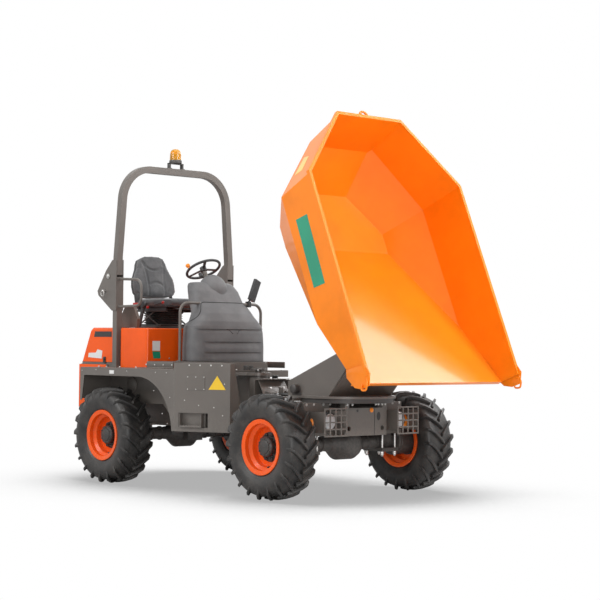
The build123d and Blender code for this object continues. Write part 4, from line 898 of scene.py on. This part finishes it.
# axle housings: a bolted cover, ribs and a flange beside each wheel
for facing, body in ends:
    station = facing * axle_station
    face = at(station + facing * 0.100, 0, wheel_height)
    cover = Shape().turned([(-0.030, 0.118), (0.0, 0.118), (0.004, 0.112), (0.030, 0.100), (0.044, 0.078),
                            (0.048, 0.050), (0.050, 0.0)], face, (facing, 0, 0), 48)
    cover.bolts([face + Vector((0, c, s)) for c, s in circle(12, 0.108, 0.5)], (facing, 0, 0), 0.007, 0.010)
    for hand, _ in hands:
        for k in range(3):
            cover.turned([(-0.009, 0.0555), (-0.007, 0.063), (0.007, 0.063), (0.009, 0.0555)],
                         at(station, hand * (0.262 + 0.105 * k), wheel_height), (0, 1, 0), 40)
        flange = at(station, hand * 0.565, wheel_height)
        cover.turned([(0.0, 0.100), (0.004, 0.1115), (0.024, 0.1115), (0.028, 0.100)], flange, (0, hand, 0),
                     48)
        cover.bolts([flange + Vector((0, -hand * 0.0005, 0)) + Vector((c, 0, s)) for c,
                     s in circle(12, 0.100)],
                    (0, -hand, 0), 0.006, 0.009)
    cover.make(f"axle_cover_{body}", dark_paint, body, "frame_paint", 0.0012, 1, 45)

# ---------------- wheels' nuts, caps and valves
valve_turn = -1.25
valve_spoke = Vector((math.cos(valve_turn), 0, math.sin(valve_turn)))
for corner, centre in wheels.items():
    body = f"wheel_{corner}"
    face = Vector((0, -1 if "right" in corner else 1, 0))
    dark = Shape()
    for profile, sides in (([(0.0162, 0.0805), (0.0162, 0.118), (0.020, 0.1185), (0.022, 0.116),
                             (0.022, 0.0805)], 48),
                           ([(0.060, 0.0770), (0.061, 0.0800), (0.068, 0.0800), (0.070, 0.0772)], 48),
                           ([(0.0812, 0.055), (0.085, 0.054), (0.087, 0.048), (0.088, 0.0)], 40)):
        dark.turned(profile, centre, face, sides)
    slot_half = Vector((0.030, 0.0005, 0.0025))
    dark.box(centre + face * 0.0885 - slot_half, centre + face * 0.0885 + slot_half)
    for c, s in circle(10, 0.100):
        nut = centre + face * 0.0222 + Vector((c, 0, s))
        dark.turned([(0.0, 0.0155), (0.002, 0.0155), (0.0022, 0.0135), (0.016, 0.0135), (0.019, 0.0115)], nut,
                    face, 6)
        dark.turned([(0.019, 0.0070), (0.027, 0.0070), (0.029, 0.0055)], nut, face, 12)
    dark.bolts([centre + face * 0.0812 + Vector((c, 0, s)) for c, s in circle(6, 0.066, 0.5)], face, 0.0055,
               0.006)
    dark.make(f"hub_nuts_{corner}", hub_paint, body, "hub_paint", 0.001, 1)
    stem = [centre + face * out + valve_spoke * r for out,
            r in ((0.020, 0.150), (0.046, 0.156), (0.080, 0.163))]
    valve = Shape().tube(eased(stem, 0.01, 3), 0.0045, 10)
    valve.turned([(0.0, 0.0065), (0.012, 0.0065), (0.014, 0.004)],
                 centre + face * 0.078 + valve_spoke * 0.1627,
                 face, 12)
    valve.make(f"valve_{corner}", hose_rubber, body, None, 0.0006, 1)

# ---------------- step boxes: panel, screws, triangle and step
box_out = Vector((0.42, -0.9075, 0)).normalized()
box_along = Vector((0.9075, 0.42, 0)).normalized()
box_foot = at(0.068, -0.8540, 0)
left_drop = -0.150          # the left box's panel sits lower than the right one's
tread_teeth = 16


def on_box(*spots, out=0.0):
    """Points on the right box's slanted face, each given by its place along it and its height."""
    return [box_foot + box_along * along + box_out * out + Vector((0, 0, z)) for along, z in spots]


for hand, side in hands:
    lift = 0.0 if hand < 0 else left_drop
    out, along = mirrored([box_out, box_along], hand)
    panel = on_box((0, 0.846), (0.166, 0.846), (0.166, 0.963), (0, 0.963), out=0.0004)
    Shape().slab(mirrored(panel, hand, lift), out * 0.0026).make(
        f"box_panel_{side}", *deck_paint, 0.0008, 1)
    screws = Shape()
    for spots, off, size, height in (
            ([(a, z) for a in (0.008, 0.083, 0.158) for z in (0.854, 0.955)], 0.003, 0.0032, 0.003),
            ([(a, 1.052 if hand < 0 else 1.040) for a in (0.02, 0.12, 0.22, 0.32)], 0.0004, 0.0046, 0.004),
            ([(0.250, 0.705), (0.330, 0.640), (0.110, 0.720), (-0.020, 0.760), (0.345, 0.900)], 0.0004,
             0.0032, 0.003)):
        screws.bolts(mirrored(on_box(*spots, out=off), hand, lift), out, size, height)
    screws.make(f"box_screws_{side}", *rear_fasteners, 0.0005, 1)
    triangle = on_box((0.199, 0.852), (0.357, 0.852), (0.278, 0.968))
    film(f"box_triangle_{side}", mirrored(triangle, hand, lift), out, yellow_film, "rear_chassis")
    # step: side cheeks, toothed tread and a kick plate close behind it, level on both sides
    tread = Shape()
    for a in (-0.060, 0.140):
        low, high = (a, 0.538), (a, 0.650)
        cheek = on_box(low, out=-0.030) + on_box(low, high, out=0.022) + on_box(high, out=-0.030)
        tread.slab(mirrored(cheek, hand), along * 0.006)
    teeth = [(-0.056 + 0.200 * k / tread_teeth, 0.547 + (0.010 if k % 2 else 0.0))
             for k in range(tread_teeth + 1)]
    tread.slab(mirrored(on_box((-0.056, 0.5365), *teeth, (0.144, 0.5365), out=0.020), hand), out * -0.004)
    tread.slab(mirrored(on_box((-0.056, 0.5405), (0.144, 0.5405), out=0.018)
                        + on_box((0.144, 0.5405), (-0.056, 0.5405), out=-0.050), hand), (0, 0, 0.004))
    tread.make(f"step_tread_{side}", *deck_paint, 0.0006, 1)
    kick = on_box((-0.070, 0.5360), (0.158, 0.5360), (0.158, 0.6540), (-0.070, 0.6540), out=-0.040)
    Shape().slab(mirrored(kick, hand), out * 0.003).make(
        f"step_kick_{side}", *deck_paint, 0.0006, 1)

# ---------------- deck edges, seal, caps and screws
trim = Shape()
for hand, _ in hands:
    trim.box(at(-0.742, hand * 0.648 - 0.004, 1.0165), at(-0.3760, hand * 0.648 + 0.004, 1.0720))
    if hand < 0:
        trim.box(at(-0.742, hand * 0.700 - 0.056, 1.0160), at(-0.3760, hand * 0.700 + 0.056, 1.0220))
    # strip that the hood closes on
    trim.box(at(-1.790, hand * 0.588 - 0.006, 1.0160), at(-1.2500, hand * 0.588 + 0.006, 1.0600))
    trim.turned([(0.0, 0.066), (0.003, 0.069), (0.012, 0.069), (0.015, 0.064), (0.016, 0.0)],
                at(-1.064, hand * 0.5600, 0.858), (0, hand, 0), 40)
trim.make("deck_trim", *deck_paint, 0.002)
feet = Shape()
for hand, _ in hands:
    feet.bolts([at(x, hand * y, 1.0155) for x, y in ((-1.290, 0.615), (-1.290, 0.680), (-1.095, 0.615),
                                                     (-1.095, 0.680), (-1.410, 0.680), (-0.860, 0.680))],
               upwards, 0.0085, 0.009)
    feet.bolts([at(-0.750 + 0.060 * k, hand * 0.652, 1.045) for k in (0, 2, 4, 6)], (0, hand, 0), 0.0055,
               0.004)
    step_row = 0.985 if hand < 0 else 0.885
    feet.bolts(at_side(hand * fender_side, (-1.36, 0.985), (-1.15, 0.993), (-0.70, 0.990), (-0.30, step_row),
                       (-0.15, step_row), (-0.20, 0.640), (-0.13, 0.560), (-0.32, 0.830), (-0.10, 0.780)),
               (0, hand, 0), 0.0034, 0.003)
feet.make("body_screws", *rear_fasteners, 0.0005, 1)
film("fender_plate", at_side(-0.9, (-0.951, 0.962), (-0.885, 0.962), (-0.885, 0.993), (-0.951, 0.993)),
     (0, -1, 0),
     white_film, "rear_chassis")

# ---------------- hood and seat box films, louvres, catches
for hand, side in hands:
    film(f"hood_strip_{side}", at_side(hand * hood_side, (-1.600, 1.285), (-1.330, 1.285), (-1.330, 1.335),
                                       (-1.585, 1.335)), (0, hand, 0), black_plastic, "engine_hood")
    film(f"hood_sign_{side}", at_side(hand * hood_side, (-1.690, 1.098), (-1.480, 1.088), (-1.470, 1.160),
                                      (-1.545, 1.172), (-1.570, 1.142), (-1.680, 1.138)), (0, hand, 0),
         white_film, "engine_hood")
film("seat_box_sign", at_station(seat_box_front, (-0.590, 1.165), (-0.505, 1.165), (-0.505, 1.252),
                                 (-0.590, 1.252)),
     forwards, white_film, "rear_chassis")
film("seat_box_sign_low", at_station(seat_box_front, (-0.578, 1.098), (-0.497, 1.098), (-0.505, 1.160),
                                     (-0.590, 1.160)), forwards, green_film, "rear_chassis")
screws = Shape().bolts(at_station(-0.7448, (-0.40, 1.10), (-0.30, 1.06), (0.40, 1.10), (-0.10, 1.30)),
                       forwards, 0.0048, 0.003)
screws.make("seat_box_screws", *rear_fasteners, 0.0005, 1)

louvres = Shape()
for k in range(9):
    z = 1.120 + 0.022 * k
    x = -1.8055 + max(0, z - 1.046) * 0.30
    louvres.slab(at_side(-0.300, (x - 0.004, z), (x + 0.010, z + 0.012), (x + 0.012, z + 0.009),
                         (x - 0.002, z - 0.003)), (0, 0.600, 0))
louvres.make("hood_louvres", *seat_trim, 0.0008, 1)
catch = Shape().tube(eased([at(-1.780, -0.070, 1.325), at(-1.806, -0.070, 1.318), at(-1.806, 0.070, 1.318),
                            at(-1.780, 0.070, 1.325)], 0.014, 5), 0.007, 12)
for hand, _ in hands:
    catch.box(at(-1.450, hand * 0.6045 - 0.0040, 1.050), at(-1.415, hand * 0.6045 + 0.0040, 1.105))
    catch.turned([(0.0, 0.013), (0.006, 0.013), (0.008, 0.010)], at(-1.4325, hand * 0.6090, 1.085),
                 (0, hand, 0), 18)
catch.make("hood_catches", *seat_trim, 0.0015)

# ---------------- rear lamps, plate and bolts
backwards = (-1, 0, 0)
for hand, side in hands:
    middle = hand * 0.520
    case = Shape().box(at(rear_panel_back - 0.016, middle - 0.075, 0.905),
                       at(rear_panel_back, middle + 0.075, 0.985))
    case.make(f"tail_lamp_body_{side}", black_plastic, *rear_lamp, 0.004, 3)
    for low_y, high_y, finish, label in ((-0.068, -0.022, amber_plastic, "amber"),
                                         (-0.018, 0.068, red_plastic, "red")):
        near_y, far_y = (low_y, high_y) if hand > 0 else (-high_y, -low_y)
        lens = Shape().box(at(rear_panel_back - 0.027, middle + near_y, 0.912),
                           at(rear_panel_back - 0.0165, middle + far_y, 0.978))
        lens.make(f"tail_lens_{label}_{side}", finish, *rear_lamp, 0.004, 3)
plate = Shape().slab(at_station(rear_panel_back - 0.0005, (-0.130, 0.770), (0.130, 0.770), (0.130, 0.870),
                                (-0.130, 0.870)), (-0.003, 0, 0))
plate.make("number_plate", white_film, "rear_chassis", None, 0.0008, 1)
back_bolts = Shape().bolts([at(rear_panel_back - 0.0002, y, z) for y in (-0.590, -0.330, 0.330, 0.590)
                            for z in (0.665, 1.030)], backwards, 0.0075, 0.007)
back_bolts.bolts([at(rear_panel_back - 0.0037, y, 0.820) for y in (-0.118, 0.118)], backwards, 0.0045, 0.003)
back_bolts.make("rear_bolts", *rear_fasteners, 0.0005, 1)

# ---------------- articulation: tower plate, cap, hoses and roller
tower = Shape().slab([at(0.245, -0.158, 0.7895), at(0.245, 0.158, 0.7895), at(0.150, 0.145, 0.934),
                      at(0.150, -0.145, 0.934)], (0.005, 0, 0.004))
tower.box(at(0.1380, -0.150, 0.9305), at(0.2300, 0.150, 0.9365))
for y in (-0.120, 0.100):
    tower.slab(at_side(y, (0.250, 0.7895), (0.330, 0.7895), (0.300, 0.8200), (0.226, 0.8320)), (0, 0.008, 0))
tower.slab(at_side(0.0, (0.262, 0.7895), (0.315, 0.7895), (0.315, 0.8650), (0.262, 0.8650)), (0, 0.007, 0))
tower.make("tower_plate", chassis, "front_chassis", "frame_paint", 0.0015)
cap = Shape().turned([(0.0, 0.075), (0.010, 0.075), (0.013, 0.070), (0.014, 0.040), (0.020, 0.036),
                      (0.021, 0.0)],
                     at(0, 0, 1.0055), upwards, 40)
cap.bolts([at(c, s, 1.0185) for c, s in circle(6, 0.055)], upwards, 0.007, 0.009)
for y in (-0.050, 0.010):
    cap.box(at(-0.140, y - 0.004, 1.0055), at(-0.085, y + 0.004, 1.045))
cap.make("pivot_cap", dark_paint, "rear_chassis", "frame_paint", 0.001)
pivot_bolts = Shape().bolts([at(x, y, 1.0052) for x,
                             y in ((-0.180, -0.100), (-0.180, 0.100), (-0.240, -0.140),
                                   (0.060, -0.060))], upwards, 0.007, 0.008)
pivot_bolts.bolts(at_station(0.2520, (-0.080, 0.8600), (0.070, 0.8600)), (1, 0, 0.6), 0.006, 0.006)
pivot_bolts.make("pivot_bolts", *rear_fasteners, 0.0005, 1)
# corrugated sleeves between the box and the pivot
sleeve_folds = 48
sleeve = [(0.720 + 0.240 * k / sleeve_folds, 0.026 + (0.004 if k % 2 else -0.002))
          for k in range(sleeve_folds + 1)]
sleeves = Shape()
for x, y in ((-0.040, -0.235), (-0.070, 0.255)):
    sleeves.turned(sleeve, at(x, y, 0), upwards, 20)
sleeves.make("hose_sleeves", hose_rubber, "rear_chassis", sharp=60)
roller = Shape()
for hand, _ in hands:
    roller.turned([(0.0, 0.030), (0.004, 0.038), (0.046, 0.038), (0.050, 0.033), (0.052, 0.014),
                   (0.0525, 0.0)],
                  at(0.885, hand * 0.3605, 0.872), (0, hand, 0), 36)
    roller.slab(at_side(hand * 0.3605, (0.850, 0.900), (0.920, 0.900), (0.940, 0.8205), (0.830, 0.8205)),
                (0, hand * 0.006, 0))
roller.make("lock_roller", dark_paint, "swivel_frame", "frame_paint", 0.001)
# hydraulic hose stubs over the neck
hoses = Shape()
for k, y in enumerate((-0.115, -0.085, -0.050, 0.090)):
    path = [at(0.240, y, 0.800), at(0.340, y * 1.05, 0.806 + 0.004 * k), at(0.560, y * 1.25, 0.806),
            at(0.640, y * 1.30, 0.803)]
    hoses.tube(eased(path, 0.06), 0.0085, 12)
    hoses.turned([(0.0, 0.012), (0.026, 0.012), (0.028, 0.009)], path[0] - Vector((0.004, 0, 0)),
                 (1, 0, 0.05), 6)
hoses.make("neck_hoses", hose_rubber, "front_chassis", sharp=50)

# ---------------- hoop pins, wheel knob and hub cover
pins = Shape()
for hand, _ in hands:
    pins.bolts([at(-1.270, hand * post_side, 1.830)], (0, hand, 0), 0.015, 0.012)
    pins.bolts([at(-1.270, hand * 0.6035, 1.830)], (0, -hand, 0), 0.015, 0.012)
    pins.turned([(0.0, 0.010), (0.030, 0.010), (0.034, 0.006)], at(-1.316, hand * post_side, 1.699),
                (0, hand, 0), 16)
    loop = [2 * math.pi * k / 20 for k in range(21)]
    pins.tube([at(-1.316 + 0.024 * math.sin(a), hand * 0.7200, 1.675 + 0.024 * math.cos(a)) for a in loop],
              0.0032, 8)
pins.make("hoop_pins", *rear_fasteners, 0.0006, 1)
knob = Shape().turned([(0.010, 0.008), (0.020, 0.008), (0.024, 0.017), (0.036, 0.021), (0.048, 0.018),
                       (0.054, 0.008),
                       (0.055, 0.0)], at(-0.777, -0.160, 1.900), column, 24)
knob.make("spinner_knob", amber_plastic, "steering_wheel", "wheel_grip", sharp=50)
horn = Shape().turned([(0.0, 0.030), (0.006, 0.030), (0.010, 0.025), (0.011, 0.0)],
                      at(-0.770, 0, 1.905) + column * 0.012, column)
horn.make("wheel_hub_cover", black_plastic, "steering_wheel", "wheel_grip", sharp=45)

# ---------------- camera, light and floor
view_azimuth, view_elevation, view_roll = math.radians(47.19), math.radians(-1.52), math.radians(0.55)
view_distance = 14.19
view_target = at(0.52, 0, 1.61)
lens_mm, sensor_mm = 100.46, 36

back = Vector((math.sin(view_azimuth) * math.cos(view_elevation),
               -math.cos(view_azimuth) * math.cos(view_elevation),
               math.sin(view_elevation)))
level_right = (-back).cross(Vector((0, 0, 1))).normalized()
level_up = level_right.cross(-back)
right = level_right * math.cos(view_roll) + level_up * math.sin(view_roll)
up = right.cross(-back)
camera = placed("camera", bpy.data.cameras.new("camera"))
camera.data.lens, camera.data.sensor_width = lens_mm, sensor_mm
camera.data.clip_end = 200
camera.matrix_world = (Matrix.Translation(view_target + back * view_distance)
                       @ Matrix((right, up, back)).transposed().to_4x4())
bpy.context.scene.camera = camera

# lamps: where, aimed at, size, power
lamps = {
    "key": ((-2.5, -8.5, 6.0), (0.2, 0, 1.2), 4.0, 400),
    "front": ((8.5, 2.5, 6.5), (0.8, 0, 1.4), 4.0, 640),
    "fill": ((9.0, -8.0, 2.2), (0.0, 0, 1.0), 4.0, 330),
    "top": ((0.5, -0.5, 9.0), (0.3, 0, 0), 6.0, 260),
    "glare": ((1.9, 5.2, 6.0), (1.75, 0, 1.2), 2.4, 190),
    "back": ((-6.0, 6.5, 4.0), (0, 0, 1.2), 4.0, 100),
}
for name, (place, aim, size, power) in lamps.items():
    lamp = placed(name, bpy.data.lights.new(name, "AREA"))
    lamp.data.size, lamp.data.energy = size, power
    lamp.location = place
    lamp.rotation_euler = (Vector(aim) - Vector(place)).to_track_quat("-Z", "Y").to_euler()

world = bpy.data.worlds.new("studio")
bpy.context.scene.world = world
world.use_nodes = True
sky = Nodes(world.node_tree)
seen, mirrored_in, through = [sky.node("ShaderNodeLightPath", {}, {}, f"Is {ray} Ray")
                              for ray in ("Camera", "Glossy", "Transmission")]
sky.tree.nodes["Background"].inputs["Color"].default_value = white
sky.lead(sky.node("ShaderNodeMapRange", {}, {"Value": seen.pick(mirrored_in, through), "To Min": 0.36,
                                             "To Max": 1.0}),
         "Background", "Strength")

# the floor shows a shadow painted in from ambient occlusion under the machine; far off, and from below, it is
# as white as the backdrop
floor_finish = Finish("pale_floor", Roughness=0.95, IOR=1.05)
floor_seen = floor_finish.node("ShaderNodeLightPath", {}, {}, "Is Camera Ray")
floor_finish.set(Base_Color=floor_finish.mix(floor_seen, (0.62, 0.62, 0.62), (0.30, 0.30, 0.30)))
floor_place = floor_finish.node("ShaderNodeNewGeometry", {}, {}, "Position")
floor_reach = floor_finish.node("ShaderNodeVectorMath", {"operation": "LENGTH"}, {0: floor_place}, "Value")
bright = floor_finish.node("ShaderNodeEmission", {}, {"Color": white, "Strength": 1.0})
plain = Signal(floor_finish, floor_finish.shader.outputs[0])
# painted shadow: grey where ambient occlusion finds the machine close above the floor, white elsewhere
painted_shadow_mask = floor_finish.node("ShaderNodeAmbientOcclusion", {"samples": 12}, {"Distance": 2.2}, "AO")
painted_shadow_grey = floor_finish.node("ShaderNodeEmission", {}, {"Color": white, "Strength": 0.44})
floor_with_painted_shadow = floor_finish.node("ShaderNodeMixShader", {}, {0: painted_shadow_mask.between(0.52, 0.93), 1: painted_shadow_grey, 2: bright})
away = floor_finish.node("ShaderNodeMixShader", {}, {0: floor_reach.between(3.2, 4.6), 1: floor_with_painted_shadow, 2: bright})
choice = floor_finish.node("ShaderNodeMixShader", {}, {0: floor_seen, 1: plain, 2: away})
floor_finish.lead(choice, "Material Output", "Surface")
floor_mesh = bpy.data.meshes.new("floor")
floor_half = 60
floor_mesh.from_pydata([(x * floor_half, y * floor_half, 0) for x, y in ((-1, -1), (1, -1), (1, 1), (-1, 1))],
                       [],
                       [(0, 1, 2, 3)])
floor = placed("floor", floor_mesh)
floor_mesh.materials.append(floor_finish.material)
floor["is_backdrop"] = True
bpy.context.scene.view_settings.view_transform = "Standard"

low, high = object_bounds()
